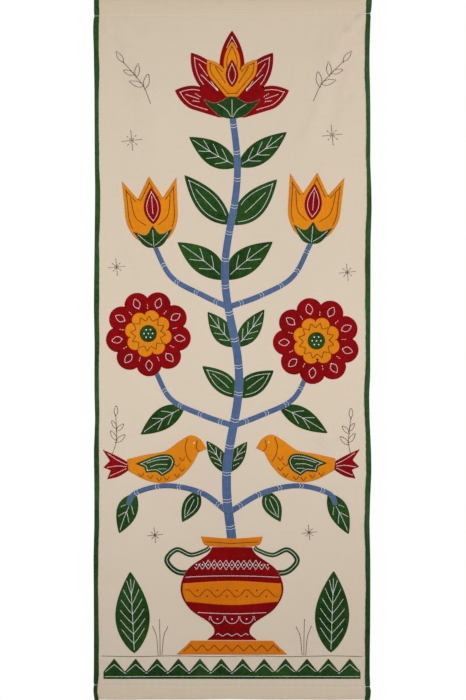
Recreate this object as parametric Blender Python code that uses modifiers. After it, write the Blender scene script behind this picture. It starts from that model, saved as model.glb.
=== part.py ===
"""A cotton wall panel with cut-out cloth pieces sewn on its face, hanging from its top edge.

Metres, +Z up. The origin is the middle of the top edge, the face looks along -Y and X runs across it.
Sizes are in millimetres times MM. Pieces are named for what they are in the sewn picture.
"""

import math

import bmesh
import bpy
import numpy as np
from mathutils import Matrix

MM = 0.001

# Hanging panel
HALF_WIDTH = 210.0 * MM
HEIGHT = 1066.0 * MM
SLEEVE = 22.5 * MM
CLOTH = 1.0 * MM
GAP = 0.3 * MM
FACE_Y = -3.4 * MM

# Grid of the hanging cloth: a soft relief on large cells, each split into small ones
LARGE_COLUMNS, LARGE_ROWS = 6, 12
CELL_X = 60.0 * MM
CELL_Z = (HEIGHT - 2 * SLEEVE) / LARGE_ROWS
LAST_NODE_X = LARGE_COLUMNS / 2 * CELL_X
SMALL_PER_CELL_X = 3
SMALL_PER_CELL_Z = 2
ROWS = LARGE_ROWS * SMALL_PER_CELL_Z
BULKY_X = 194.0 * MM

# Where the two side edges run, out from the straight width
EDGE = (
    # below top, left, right
    (0.0, 0.0, 1.5),
    (22.5, -0.8, 0.0),
    (50.0, 1.5, 0.3),
    (120.0, 0.0, 0.0),
    (220.0, -1.5, 0.0),
    (310.0, -1.5, 2.4),
    (400.0, 0.0, 0.0),
    (460.0, 0.0, 1.5),
    (530.0, -1.0, 0.0),
    (610.0, -1.2, -1.5),
    (700.0, 0.0, 2.0),
    (800.0, -1.2, -1.4),
    (850.0, 1.2, 0.0),
    (1000.0, 0.0, 0.2),
    (1043.5, -1.0, -0.4),
    (1056.0, 0.0, 1.2),
    (1066.0, -3.5, -1.5),
)

# Outer face of a sleeve, from its seam round the fold to the hem's end
SLEEVE_PATH = (
    # back from the face, in from the fold's crest
    (0.0, 22.5),
    (-1.9, 16.5),
    (-2.5, 9.5),
    (-1.5, 3.4),
    (0.8, 0.7),
    (3.4, 0.0),
    (7.0, 1.3),
    (10.2, 6.2),
    (10.7, 11.6),
    (8.6, 16.8),
    (2.5, 22.0),
    (2.5, 25.0),
)
SEAM_POINTS = 2
BINDING_BULK = 2.6 * MM

# Outer face of a binding's fold across the edge
BINDING_SECTION = (
    # in from the edge, out of the cloth's face
    (7.0, 1.3),
    (0.9, 1.3),
    (0.0, 0.5),
    (0.0, -1.5),
    (0.9, -2.3),
    (7.0, -2.3),
)
EDGE_IN_BINDING = 1.4 * MM

# Long folds pulled from the two top corners
FOLDS = (
    # from x, from below top, to x, to below top, height, width
    (172.0, 30.0, 112.0, 225.0, -3.2, 15.0),
    (178.0, 40.0, 150.0, 190.0, 2.2, 12.0),
    (-172.0, 35.0, -116.0, 235.0, -2.4, 16.0),
    (-178.0, 60.0, -152.0, 200.0, 1.6, 12.0),
)
FOLD_FREE_X = 110.0 * MM
FOLD_FREE_DROP = 250.0 * MM

# Sewn pieces
PIECE = 1.0 * MM
LAYER = PIECE + GAP
CUT_GAP = 0.4 * MM

COLOURS = {
    # linear red, green, blue and roughness
    "cream": (0.62, 0.52, 0.40, 0.9),
    "dark_green": (0.012, 0.055, 0.02, 0.85),
    "green": (0.02, 0.075, 0.018, 0.85),
    "red": (0.22, 0.006, 0.012, 0.85),
    "orange": (0.62, 0.21, 0.012, 0.85),
    "blue": (0.09, 0.17, 0.36, 0.85),
}

LEAVES = (
    # name, base x, base below top, angle, length, width, bend
    ("leaf_top", 4, 256, 27, 88, 35, 9),
    ("leaf_fork", 0, 344, 38, 98, 39, 11),
    ("leaf_high", 2, 428, 46, 94, 38, -10),
    ("leaf_mid", 3, 530, 44, 68, 31, 8),
    ("leaf_low", 0, 607, 46, 70, 32, -8),
    ("leaf_arch", 72, 621, -24, 82, 31, -8),
    ("leaf_small", 0, 722, 62, 56, 25, -6),
    ("leaf_hang", 52, 748, -70, 54, 26, 6),
    ("leaf_end", 146, 753, -58, 66, 31, -9),
)
BRANCHES = (
    # name, then x and below top of each point along it
    ("branch_high", ((0, 470), (44, 452), (92, 424), (120, 372))),
    ("branch_mid", ((0, 650), (44, 634), (92, 610), (116, 568))),
    ("branch_low", ((0, 782), (46, 752), (100, 741), (146, 752), (158, 770))),
)
BRANCH_WIDTH = (8.5, 7.0)
ON_STEM = 10
STEM_TOP, STEM_FOOT = 170.0, 826.0
STEM_SWAY, STEM_WAVES = 11.0, 2
STEM_WIDTH = (9.5, 14.0)

LOTUS_BASE = (0, 172)
LOTUS_FANS = (
    # name, colour, layer, up from the base, tip radii, spread, valley radius, foot half width
    ("petals", "red", 1, 0, (92, 108, 122, 108, 92), 176, 60, 20),
    ("heart", "orange", 2, 26, (64, 80, 64), 108, 40, 9),
)
LOTUS_DROP = (36, 42, 19)
ROUND_FLOWERS = (
    # side, x, below top, radius, turn
    ("left", -127, 510, 65.0, 0.2),
    ("right", 128, 521, 66.0, 0.05),
)
ROUND_FLOWER_DISCS = (
    # name, colour, outer share of the radius, valley share, lobes
    ("petals", "red", 1.0, 0.83, 9),
    ("ring", "orange", 0.55, 0.45, 8),
    ("eye", "green", 0.2, 0.2, 4),
)
# Side, x and below top of the base or the feet, then the lean in degrees or the way it faces
TULIPS = (("left", -119, 372, 4), ("right", 121, 366, -5))
BIRDS = (("left", -106, 738, -1), ("right", 104, 737, 1))
BIRD_SCALE = 1.13
TULIP_SCALE = 1.12
TULIP_INNER = (28, 56, 26)
CYPRESSES = (("left", -148, 995, 93), ("right", 150, 994, 88))
CYPRESS_SIZE = (124, 52)
SIDES = (("left", -1), ("right", 1))

TULIP = (
    # x, up, corner
    (0, 0, 0), (21, 5, 0), (34, 27, 0), (36, 56, 0), (37, 86, 1), (17, 60, 1), (0, 90, 1),
    (-17, 60, 1), (-37, 86, 1), (-36, 56, 0), (-34, 27, 0), (-21, 5, 0),
)
TULIP_CALYX = (
    (0, -7, 0), (13, -3, 0), (27, 17, 1), (10, 11, 0), (0, 23, 1), (-10, 11, 0), (-27, 17, 1), (-13, -3, 0),
)
LOTUS_CALYX = (
    (0, -12, 0), (17, -8, 0), (30, 2, 0), (44, 18, 1), (24, 12, 0), (0, 24, 1), (-24, 12, 0), (-44, 18, 1),
    (-30, 2, 0), (-17, -8, 0),
)
BIRD_BODY = (
    (-60, 47, 1), (-51, 60, 0), (-38, 65, 0), (-23, 57, 0), (-4, 44, 0), (22, 39, 0), (47, 33, 1),
    (45, 17, 1), (22, 5, 0), (0, 1, 0), (-22, 7, 0), (-39, 24, 0), (-49, 42, 1),
)
BIRD_WING = (
    (-17, 30, 0), (-10, 39, 0), (8, 38, 0), (36, 27, 1), (24, 22, 1), (22, 15, 1), (8, 16, 1),
    (0, 10, 1), (-12, 18, 0),
)
BIRD_TAIL = (
    (43, 27, 0), (62, 38, 0), (80, 46, 1), (70, 31, 1), (79, 22, 1), (69, 18, 1), (74, 6, 1), (58, 10, 0),
    (42, 21, 0),
)
VASE_HALF = (
    # half width, below top, corner
    (38, 975, 1), (27, 964, 0), (33, 950, 0), (64, 928, 0), (78, 900, 0), (68, 869, 0), (38, 846, 0),
    (30, 834, 1),
)
VASE_BAND = (
    # x, below top, corner
    (-74.5, 889, 1), (0, 885, 0), (74.5, 889, 1), (75, 903, 0), (70, 917, 1), (0, 922, 0), (-70, 917, 1),
    (-75, 903, 0),
)
VASE_LIP = (
    # x, below top, corner
    (-47, 818, 1), (0, 821, 0), (47, 818, 1), (42, 830, 0), (31, 833, 1), (0, 834, 0), (-31, 833, 1),
    (-42, 830, 0),
)
VASE_STAND = (
    # x, below top, corner
    (-62, 976, 1), (62, 976, 1), (70, 984, 0), (84, 997, 1), (-84, 997, 1), (-70, 984, 0),
)
VASE_HANDLE = (
    # x, below top
    (52, 872), (82, 872), (99, 854), (84, 838), (62, 846), (40, 839), (34, 834),
)
VASE_HANDLE_WIDTH = (9.0, 6.0)

BORDER_HALF, BORDER_FOOT, BORDER_BAND, BORDER_TIP, BORDER_TEETH = 195.0, 1034.0, 1023.0, 1003.0, 12


def start_scene(name):
    """Clears the scene, and gives the collection of the panel's pieces and the one of its cutters."""
    for obj in list(bpy.data.objects):
        bpy.data.objects.remove(obj, do_unlink=True)
    pieces = bpy.data.collections.new(name)
    cutters = bpy.data.collections.new("cutters")
    for group in (pieces, cutters):
        bpy.context.scene.collection.children.link(group)
    cutters.hide_render = True
    return pieces, cutters


def cloth_material(name):
    red, green, blue, rough = COLOURS[name]
    material = bpy.data.materials.new(name)
    material.use_nodes = True
    shader = material.node_tree.nodes["Principled BSDF"]
    shader.inputs["Base Color"].default_value = (red, green, blue, 1.0)
    shader.inputs["Roughness"].default_value = rough
    shader.inputs["Metallic"].default_value = 0.0
    return material


def rolls(x, z):
    """The soft rolls in which the cloth hangs, stilled near the two sleeves."""
    below = -z / HEIGHT
    at_sleeve = 0.06
    still = at_sleeve + (1 - at_sleeve) * math.sin(math.pi * min(max(below, 0.0), 1.0)) ** 0.7
    wide = 1.7 * math.sin(2 * math.pi * x / (310 * MM) + 0.8 + 3.1 * below)
    narrow = 0.9 * math.sin(2 * math.pi * x / (190 * MM) - 5.2 * below + 2.2)
    level = 0.8 * math.sin(2 * math.pi * z / (430 * MM) + 0.5)
    return (wide + narrow + level) * still * MM


def relief(x, z):
    """How far back the face lies: the rolls on large cells, each folded on its falling diagonal."""
    x = min(max(x, -LAST_NODE_X), LAST_NODE_X)
    column = min(math.floor((x + LAST_NODE_X) / CELL_X), LARGE_COLUMNS - 1)
    row = min(max(math.floor((-SLEEVE - z) / CELL_Z), 0), LARGE_ROWS - 1)
    x0 = column * CELL_X - LAST_NODE_X
    z0 = -SLEEVE - row * CELL_Z
    across = (x - x0) / CELL_X
    down = (z0 - z) / CELL_Z
    first, last = rolls(x0, z0), rolls(x0 + CELL_X, z0 - CELL_Z)
    if across >= down:
        side = rolls(x0 + CELL_X, z0)
        height = first + across * (side - first) + down * (last - side)
    else:
        side = rolls(x0, z0 - CELL_Z)
        height = first + down * (side - first) + across * (last - side)
    return FACE_Y + height


def fold_height(x, z):
    """The corner folds, which end before they reach the sewn pieces or the edges."""
    if abs(x) < FOLD_FREE_X or abs(x) >= LAST_NODE_X - 1e-6 or not -FOLD_FREE_DROP < z < -SLEEVE - 1e-6:
        return 0.0
    total = 0.0
    for x0, drop0, x1, drop1, height, width in FOLDS:
        start = np.array((x0, -drop0)) * MM
        run = np.array((x1, -drop1)) * MM - start
        point = np.array((x, z)) - start
        along = min(max(point @ run / (run @ run), 0.0), 1.0)
        away = np.linalg.norm(point - along * run) / (width * MM)
        total += height * MM * math.exp(-away * away) * (1 - 0.6 * along)
    return total


def edge_x(z, side):
    below, left, right = np.array(EDGE).T * MM
    return HALF_WIDTH + np.interp(-z, below, left if side < 0 else right)


def sleeve_points(x, top):
    """A sleeve's outer face at this x as (y, z), seam first. Its hem stands off the bindings' edges."""
    seam_z = -SLEEVE if top else SLEEVE - HEIGHT
    bulk = BINDING_BULK * min(max((abs(x) - LAST_NODE_X) / (BULKY_X - LAST_NODE_X), 0.0), 1.0)
    wave = 0.0 if top else 0.5 * MM * (1 + math.sin(2 * math.pi * x / (105 * MM) + 2.0))
    points = []
    for k, (back, inward) in enumerate(SLEEVE_PATH):
        stand_off = bulk if k >= len(SLEEVE_PATH) - SEAM_POINTS else 0.0
        share = 1 - inward * MM / SLEEVE
        z = -inward * MM if top else inward * MM - HEIGHT + wave * max(share, 0.0)
        points.append((relief(x, seam_z) + back * MM + stand_off, z))
    return points


def section(x):
    """The cloth's outer face at this x, from the top hem's end down the face to the bottom hem's end."""
    top = sleeve_points(x, True)[::-1]
    rows = []
    for row in range(1, ROWS):
        z = -SLEEVE - row * CELL_Z / SMALL_PER_CELL_Z
        rows.append((relief(x, z) + fold_height(x, z), z))
    return np.array(top + rows + sleeve_points(x, False))


def offset_out(points, distance):
    """A line of (y, z) points moved out of the cloth's face, with every stretch kept parallel."""
    steps = np.diff(points, axis=0)
    steps /= np.linalg.norm(steps, axis=1)[:, None]
    before = np.vstack([steps[:1], steps])
    after = np.vstack([steps, steps[-1:]])
    middle = before + after
    middle /= np.linalg.norm(middle, axis=1)[:, None]
    reach = distance / (middle * after).sum(axis=1)
    outward = np.column_stack([middle[:, 1], -middle[:, 0]])
    return points + outward * reach[:, None]


def grid_sheet(name, columns, material, collection):
    """A sheet from columns of points, each cell split on one diagonal, with its thickness behind."""
    count, length = len(columns), len(columns[0])
    bm = bmesh.new()
    bmesh.ops.create_grid(bm, x_segments=count - 1, y_segments=length - 1, size=0.5)
    place = {}
    for vert in bm.verts:
        i = round((vert.co.x + 0.5) * (count - 1))
        j = round((0.5 - vert.co.y) * (length - 1))
        place[vert] = (i, j)
        vert.co = columns[i][j]
    for face in list(bm.faces):
        corners = sorted(face.verts, key=place.get)
        bmesh.utils.face_split(face, corners[0], corners[-1])
    mesh = bpy.data.meshes.new(name)
    bm.to_mesh(mesh)
    bm.free()
    obj = bpy.data.objects.new(name, mesh)
    collection.objects.link(obj)
    wall = obj.modifiers.new("thickness", "SOLIDIFY")
    wall.thickness = CLOTH
    wall.offset = -1.0
    wall.use_even_offset = True
    wall.use_quality_normals = True
    mesh.materials.append(material)
    return obj


def ground_cloth(material, collection):
    small = CELL_X / SMALL_PER_CELL_X
    inner = np.arange(-LAST_NODE_X, LAST_NODE_X + small / 2, small)
    xs = [-HALF_WIDTH, -BULKY_X, *inner, BULKY_X, HALF_WIDTH]
    columns = []
    for x in xs:
        line = section(x)
        if abs(x) < HALF_WIDTH:
            columns.append([(x, y, z) for y, z in line])
        else:
            side = math.copysign(1, x)
            columns.append([(side * (edge_x(z, side) - EDGE_IN_BINDING), y, z) for y, z in line])
    grid_sheet("ground_cloth", columns, material, collection)


def binding(name, side, material, collection):
    line = section(side * HALF_WIDTH)
    columns = []
    for inward, out in BINDING_SECTION:
        points = offset_out(line, out * MM)
        columns.append(
            [(side * (edge_x(zc, side) - inward * MM), y, z) for (y, z), (_, zc) in zip(points, line)]
        )
    grid_sheet(name, columns[::-1] if side < 0 else columns, material, collection)


def smooth_loop(keys, steps=4):
    """A closed outline through keys of x, y and corner, curved between them and sharp at the corners."""
    keys = np.array(keys, float)
    points, corner = keys[:, :2], keys[:, 2] > 0
    following = np.roll(points, -1, axis=0)
    through = (following - np.roll(points, 1, axis=0)) / 2
    outline = []
    for k in range(len(points)):
        n = (k + 1) % len(points)
        start, end = points[k], points[n]
        leave = (end - start) if corner[k] else through[k]
        arrive = (end - start) if corner[n] else through[n]
        for t in np.arange(steps) / steps:
            blend = t * t * (3 - 2 * t)
            early, late = t * (1 - t) ** 2, t * t * (t - 1)
            outline.append(start + (end - start) * blend + leave * early + arrive * late)
    return np.array(outline)


def smooth_line(keys, steps=4):
    """An open line through keys, curved between them."""
    keys = np.array(keys, float)
    padded = np.vstack([2 * keys[0] - keys[1], keys, 2 * keys[-1] - keys[-2]])
    line = []
    for k in range(1, len(keys)):
        start, end = padded[k], padded[k + 1]
        leave, arrive = (end - padded[k - 1]) / 2, (padded[k + 2] - start) / 2
        for t in np.arange(steps) / steps:
            blend = t * t * (3 - 2 * t)
            line.append(start + (end - start) * blend + leave * t * (1 - t) ** 2 + arrive * t * t * (t - 1))
    return np.array(line + [keys[-1]])


def ribbon(line, first_width, last_width):
    """The outline of a strip along a line."""
    run = np.gradient(line, axis=0)
    aside = np.column_stack([-run[:, 1], run[:, 0]]) / np.linalg.norm(run, axis=1)[:, None]
    half = np.linspace(first_width, last_width, len(line))[:, None] / 2
    return np.vstack([line - aside * half, (line + aside * half)[::-1]])


def leaf(length, width, bend, steps=7):
    """A leaf from its base at the origin to its tip along X, curved aside by bend."""
    t = np.linspace(0, 1, steps)
    half = width / 2 * np.sin(np.pi * t**0.85) ** 0.9
    half[[0, -1]] = 0.0
    middle = np.column_stack([length * t, bend * t**2])
    aside = np.column_stack([0 * t, half])
    return np.vstack([middle - aside, (middle + aside)[-2:0:-1]])


def scalloped_disc(radius, valley, lobes, turn=0.0, steps=4):
    u = np.arange(lobes * steps) / steps
    reach = valley + (radius - valley) * np.abs(np.sin(np.pi * u)) ** 0.7
    angle = 2 * np.pi * u / lobes + turn
    return np.column_stack([reach * np.cos(angle), reach * np.sin(angle)])


def petal_fan(tips, spread, valley, foot, steps=6):
    """A flower seen from the side: one pointed petal for each tip radius, over the spread in degrees."""
    points = [(foot, -foot / 2)]
    first = 90 - spread / 2
    for k, tip in enumerate(tips):
        for step in range(steps + (k == len(tips) - 1)):
            u = step / steps
            reach = valley + (tip - valley) * (1 - abs(2 * u - 1)) ** 0.8
            angle = math.radians(first + spread * (k + u) / len(tips))
            points.append((reach * math.cos(angle), reach * math.sin(angle)))
    points.append((-foot, -foot / 2))
    return np.array(points)


def placed(outline, x, drop, angle=0.0, flip=1, size=1.0):
    """A local outline sized, turned, mirrored if flip is -1, and moved to its place below the top."""
    outline = np.array(outline, float) * size
    turn = math.radians(angle)
    rotation = np.array([[math.cos(turn), -math.sin(turn)], [math.sin(turn), math.cos(turn)]])
    outline = outline @ rotation.T * (flip, 1)
    return outline + (x, -drop)


def grown(outline, distance):
    """The outline moved out by a distance, for the gap between a piece and the one that it meets."""
    before = outline - np.roll(outline, 1, axis=0)
    after = np.roll(outline, -1, axis=0) - outline
    turn_way = np.sign(np.sum(outline[:, 0] * after[:, 1] - outline[:, 1] * after[:, 0]))
    normals = []
    for run in (before, after):
        run = run / np.linalg.norm(run, axis=1)[:, None]
        normals.append(np.column_stack([run[:, 1], -run[:, 0]]) * turn_way)
    middle = normals[0] + normals[1]
    size = np.linalg.norm(middle, axis=1)[:, None]
    middle = middle / np.maximum(size, 1e-9)
    reach = np.maximum((middle * normals[1]).sum(axis=1), 0.35)[:, None]
    return outline + middle * distance / reach


def slab(name, outline, thickness):
    """A flat slab standing in the XZ plane, from an outline in millimetres, as a welded mesh object."""
    curve = bpy.data.curves.new(name, "CURVE")
    curve.dimensions = "2D"
    curve.fill_mode = "BOTH"
    curve.extrude = thickness / 2
    spline = curve.splines.new("POLY")
    spline.points.add(len(outline) - 1)
    for point, (x, z) in zip(spline.points, outline):
        point.co = (x * MM, z * MM, 0.0, 1.0)
    spline.use_cyclic_u = True
    flat = bpy.data.objects.new(name, curve)
    bpy.context.scene.collection.objects.link(flat)
    graph = bpy.context.evaluated_depsgraph_get()
    mesh = bpy.data.meshes.new_from_object(flat.evaluated_get(graph))
    bpy.data.objects.remove(flat)
    bpy.data.curves.remove(curve)
    mesh.transform(Matrix.Rotation(math.pi / 2, 4, "X"))
    mesh.name = name
    bm = bmesh.new()
    bm.from_mesh(mesh)
    bmesh.ops.remove_doubles(bm, verts=bm.verts, dist=1e-6)
    bmesh.ops.recalc_face_normals(bm, faces=bm.faces)
    bm.to_mesh(mesh)
    bm.free()
    return bpy.data.objects.new(name, mesh)


def cut_away(obj, others, cutters):
    """Trims a slab where it would run under its neighbours, and gives the trimmed mesh."""
    for k, other in enumerate(others):
        cutter = slab(f"{obj.name}_cut_{k}", grown(other, CUT_GAP / MM), 3 * PIECE)
        cutter.hide_render = True
        cutter.display_type = "WIRE"
        cutters.objects.link(cutter)
        trim = obj.modifiers.new(f"trim_{k}", "BOOLEAN")
        trim.operation = "DIFFERENCE"
        trim.object = cutter
    graph = bpy.context.evaluated_depsgraph_get()
    mesh = bpy.data.meshes.new_from_object(obj.evaluated_get(graph))
    obj.modifiers.clear()
    return mesh


def cell_planes(low, high):
    """The planes of the large cells' edges and diagonals that cross a box, as a point and a normal each."""
    planes = []
    for k in range(LARGE_COLUMNS + 1):
        planes.append(((k * CELL_X - LAST_NODE_X, 0, 0), (1, 0, 0)))
    for k in range(1, LARGE_ROWS):
        planes.append(((0, 0, -SLEEVE - k * CELL_Z), (0, 0, 1)))
    slant = (1 / CELL_X, 0, 1 / CELL_Z)
    for k in range(-LARGE_ROWS, LARGE_COLUMNS + 1):
        planes.append(((k * CELL_X - LAST_NODE_X, 0, -SLEEVE), slant))
    crossing = []
    for point, normal in planes:
        corners = [(x - point[0], z - point[2]) for x in (low[0], high[0]) for z in (low[1], high[1])]
        offsets = [x * normal[0] + z * normal[2] for x, z in corners]
        if min(offsets) < 0 < max(offsets):
            crossing.append((point, normal))
    return crossing


def lay_on_cloth(mesh, layer):
    """Cuts a slab along the cell edges and moves it on to the cloth, in front of the layers under it."""
    bm = bmesh.new()
    bm.from_mesh(mesh)
    bmesh.ops.dissolve_limit(bm, angle_limit=math.radians(0.5), verts=bm.verts, edges=bm.edges)
    xs = [vert.co.x for vert in bm.verts]
    zs = [vert.co.z for vert in bm.verts]
    for point, normal in cell_planes((min(xs), min(zs)), (max(xs), max(zs))):
        everything = [*bm.verts, *bm.edges, *bm.faces]
        bmesh.ops.bisect_plane(bm, geom=everything, dist=1e-7, plane_co=point, plane_no=normal)
    bmesh.ops.triangulate(bm, faces=bm.faces)
    for vert in bm.verts:
        in_front = GAP + PIECE / 2 + (layer - 1) * LAYER
        vert.co.y += relief(vert.co.x, vert.co.z) - in_front
    bmesh.ops.recalc_face_normals(bm, faces=bm.faces)
    bm.to_mesh(mesh)
    bm.free()


class Sewing:
    """Puts each cut piece on the cloth, from its outline, colour, layer and the pieces that it meets."""

    def __init__(self, collection, cutters, materials):
        self.collection = collection
        self.cutters = cutters
        self.materials = materials
        self.outlines = {}

    def sew(self, name, outline, colour, layer=1, meets=()):
        obj = slab(name, outline, PIECE)
        self.outlines[name] = outline
        self.collection.objects.link(obj)
        mesh = obj.data
        if meets:
            mesh = cut_away(obj, [self.outlines[other] for other in meets], self.cutters)
        lay_on_cloth(mesh, layer)
        mesh.name = name
        obj.data = mesh
        mesh.materials.clear()
        mesh.materials.append(self.materials[colour])
        return obj


def sew_border(work):
    """A strip with a row of teeth along its upper edge."""
    pitch = 2 * BORDER_HALF / BORDER_TEETH
    outline = [(BORDER_HALF, -BORDER_FOOT), (-BORDER_HALF, -BORDER_FOOT)]
    for k in range(BORDER_TEETH):
        left = k * pitch - BORDER_HALF
        outline += [(left, -BORDER_BAND), (left + pitch / 2, -BORDER_TIP)]
    outline.append((BORDER_HALF, -BORDER_BAND))
    work.sew("border", np.array(outline), "green")


def below_top(keys):
    return [(x, -drop, *rest) for x, drop, *rest in keys]


def sew_vase(work):
    half = below_top(VASE_HALF)
    other_half = [(-x, z, corner) for x, z, corner in half[::-1]]
    work.sew("vase_body", smooth_loop(half + other_half), "red")
    work.sew("vase_lip", smooth_loop(below_top(VASE_LIP), 3), "orange", meets=["vase_body"])
    work.sew("vase_band", smooth_loop(below_top(VASE_BAND), 3), "orange", 2)
    work.sew("vase_stand", smooth_loop(below_top(VASE_STAND), 3), "orange")
    for side, flip in SIDES:
        line = smooth_line([(x * flip, -drop) for x, drop in VASE_HANDLE], 3)
        handle = ribbon(line, *VASE_HANDLE_WIDTH)
        work.sew(f"vase_handle_{side}", handle, "green", meets=["vase_body", "vase_lip"])


def stem_line():
    t = np.linspace(0, 1, 25)
    sway = STEM_SWAY * np.sin(2 * math.pi * STEM_WAVES * t) * np.sin(math.pi * t) ** 0.3
    return np.column_stack([sway, -(STEM_TOP + (STEM_FOOT - STEM_TOP) * t)])


def stem_x(drop):
    line = stem_line()
    return np.interp(drop, -line[:, 1], line[:, 0])


def sew_lotus(work):
    x, drop = LOTUS_BASE
    work.sew("lotus_calyx", placed(smooth_loop(LOTUS_CALYX), x, drop), "green")
    for name, colour, layer, up, tips, spread, valley, foot in LOTUS_FANS:
        fan = placed(petal_fan(tips, spread, valley, foot), x, drop - up)
        work.sew(f"lotus_{name}", fan, colour, layer, ["lotus_calyx"] if layer == 1 else ())
    up, length, width = LOTUS_DROP
    work.sew("lotus_drop", placed(leaf(length, width, 0), x, drop - up, 90), "red", 3)


def sew_round_flowers(work):
    for side, x, drop, radius, turn in ROUND_FLOWERS:
        for layer, (name, colour, share, valley, lobes) in enumerate(ROUND_FLOWER_DISCS, 1):
            disc = scalloped_disc(radius * share, radius * valley, lobes, turn)
            work.sew(f"flower_{side}_{name}", placed(disc, x, drop), colour, layer)


def sew_tulips(work):
    for side, x, drop, angle in TULIPS:
        calyx = placed(smooth_loop(TULIP_CALYX, 3), x, drop, angle, 1, TULIP_SCALE)
        petals = placed(smooth_loop(TULIP, 3), x, drop, angle, 1, TULIP_SCALE)
        up, length, width = TULIP_INNER
        inner = placed(leaf(length, width, 0), x, drop - up, 90 + angle)
        work.sew(f"tulip_{side}_calyx", calyx, "green")
        work.sew(f"tulip_{side}_petals", petals, "orange", meets=[f"tulip_{side}_calyx"])
        work.sew(f"tulip_{side}_inner", inner, "red", 2)


def sew_stem(work):
    stem = ribbon(stem_line(), *STEM_WIDTH)
    work.sew("stem", stem, "blue", meets=["lotus_calyx", "vase_lip", "vase_body"])
    for name, route in BRANCHES:
        for side, flip in SIDES:
            drop = route[0][1]
            keys = [(stem_x(drop), -drop)] + [(x * flip, -down) for x, down in route[1:]]
            meets = ["stem"]
            if name == "branch_high":
                meets.append(f"tulip_{side}_calyx")
            if name == "branch_mid":
                meets.append(f"flower_{side}_petals")
            work.sew(f"{name}_{side}", ribbon(smooth_line(keys), *BRANCH_WIDTH), "blue", meets=meets)


def sew_leaves(work):
    for row, (name, x, drop, angle, length, width, bend) in enumerate(LEAVES):
        for side, flip in SIDES:
            by_hand = math.sin(2.4 * row + 0.9 * flip)
            base_x = stem_x(drop) if abs(x) < ON_STEM else x * flip
            outline = leaf(length * (1 + 0.04 * by_hand), width * (1 - 0.05 * by_hand), bend)
            outline = placed(outline, base_x, drop, angle + 2.5 * by_hand, flip)
            meets = ["stem"]
            if name == "leaf_arch":
                meets = [f"branch_mid_{side}"]
            elif name in ("leaf_hang", "leaf_end"):
                meets = [f"branch_low_{side}"]
            work.sew(f"{name}_{side}", outline, "green", meets=meets)


def sew_birds(work):
    for side, x, drop, flip in BIRDS:
        body, wing, tail = (
            placed(smooth_loop(keys, 3), x, drop, 0, flip, BIRD_SCALE)
            for keys in (BIRD_BODY, BIRD_WING, BIRD_TAIL)
        )
        work.sew(f"bird_{side}_body", body, "orange")
        work.sew(f"bird_{side}_wing", wing, "green", 2)
        work.sew(f"bird_{side}_tail", tail, "red", meets=[f"bird_{side}_body"])


def sew_cypresses(work):
    for side, x, drop, angle in CYPRESSES:
        work.sew(f"cypress_{side}", placed(leaf(*CYPRESS_SIZE, 0, 9), x, drop, angle), "green")


def main():
    pieces, cutters = start_scene("applique_panel")
    materials = {name: cloth_material(name) for name in COLOURS}
    ground_cloth(materials["cream"], pieces)
    for name, side in SIDES:
        binding(f"binding_{name}", side, materials["dark_green"], pieces)
    work = Sewing(pieces, cutters, materials)
    for sew in (sew_border, sew_vase, sew_lotus, sew_round_flowers, sew_tulips, sew_stem, sew_leaves):
        sew(work)
    sew_birds(work)
    sew_cypresses(work)


main()
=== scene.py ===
"""Looks of the cotton wall panel with its sewn flowers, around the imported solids.

Metres, +Z up, the origin is the middle of the top edge and the face looks along -Y.
The layout tables and outlines below are in millimetres, as x and the distance below the top.
"""

import math

import bmesh
import bpy
import numpy as np
from mathutils import Euler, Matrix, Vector
from mathutils.geometry import delaunay_2d_cdt


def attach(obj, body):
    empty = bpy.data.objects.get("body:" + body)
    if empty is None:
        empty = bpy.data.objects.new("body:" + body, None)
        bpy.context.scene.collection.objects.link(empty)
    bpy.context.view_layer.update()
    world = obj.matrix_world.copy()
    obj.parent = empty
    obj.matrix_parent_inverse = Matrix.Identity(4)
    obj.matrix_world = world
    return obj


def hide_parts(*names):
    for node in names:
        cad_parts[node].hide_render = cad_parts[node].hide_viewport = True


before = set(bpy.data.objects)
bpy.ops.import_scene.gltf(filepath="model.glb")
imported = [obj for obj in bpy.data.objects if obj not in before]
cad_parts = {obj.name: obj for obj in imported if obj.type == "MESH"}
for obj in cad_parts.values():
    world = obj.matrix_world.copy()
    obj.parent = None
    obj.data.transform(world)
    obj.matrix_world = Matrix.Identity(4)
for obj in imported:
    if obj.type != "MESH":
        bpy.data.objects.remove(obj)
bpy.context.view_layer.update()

MM = 0.001

# Hanging cloth

HALF_WIDTH, HEIGHT, SLEEVE, FACE_Y = 210.0, 1066.0, 22.5, -3.4
CLOTH, BINDING_CLOTH = 0.75, 0.5
COLUMNS = 121
ROW, FINE_ROW, FINE_BESIDE_SEAM = 4.1, 1.3, 7.0
EDGE_IN_BINDING = 1.6
BINDING_BULK, BULKY_FROM, BULKY_TO = 2.6, 183.0, 199.0
BINDING_ON_SEAM = (201.5, 203.5)
BINDING_PUCKER = {-1: 0.6, 1: 1.0}

SEAMS = {
    # top sleeve or not: below the top at the middle, how much lower at the right edge, ripple
    True: (26.2, -1.9, 0.22),
    False: (1044.4, 1.4, 0.3),
}
PINCH, PINCH_REACH = 1.0, 3.0
RIPPLE_PITCH, RIPPLE_REACH = 11.5, 5.5
GROOVE, GROOVE_REACH = 0.4, 1.4
EDGE_PUCKER_LEFT, EDGE_PUCKER_RIGHT = 0.16, 0.42
EDGE_PUCKER_AT, EDGE_PUCKER_REACH, EDGE_PUCKER_PITCH = 202.0, 5.5, 12.4

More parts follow.
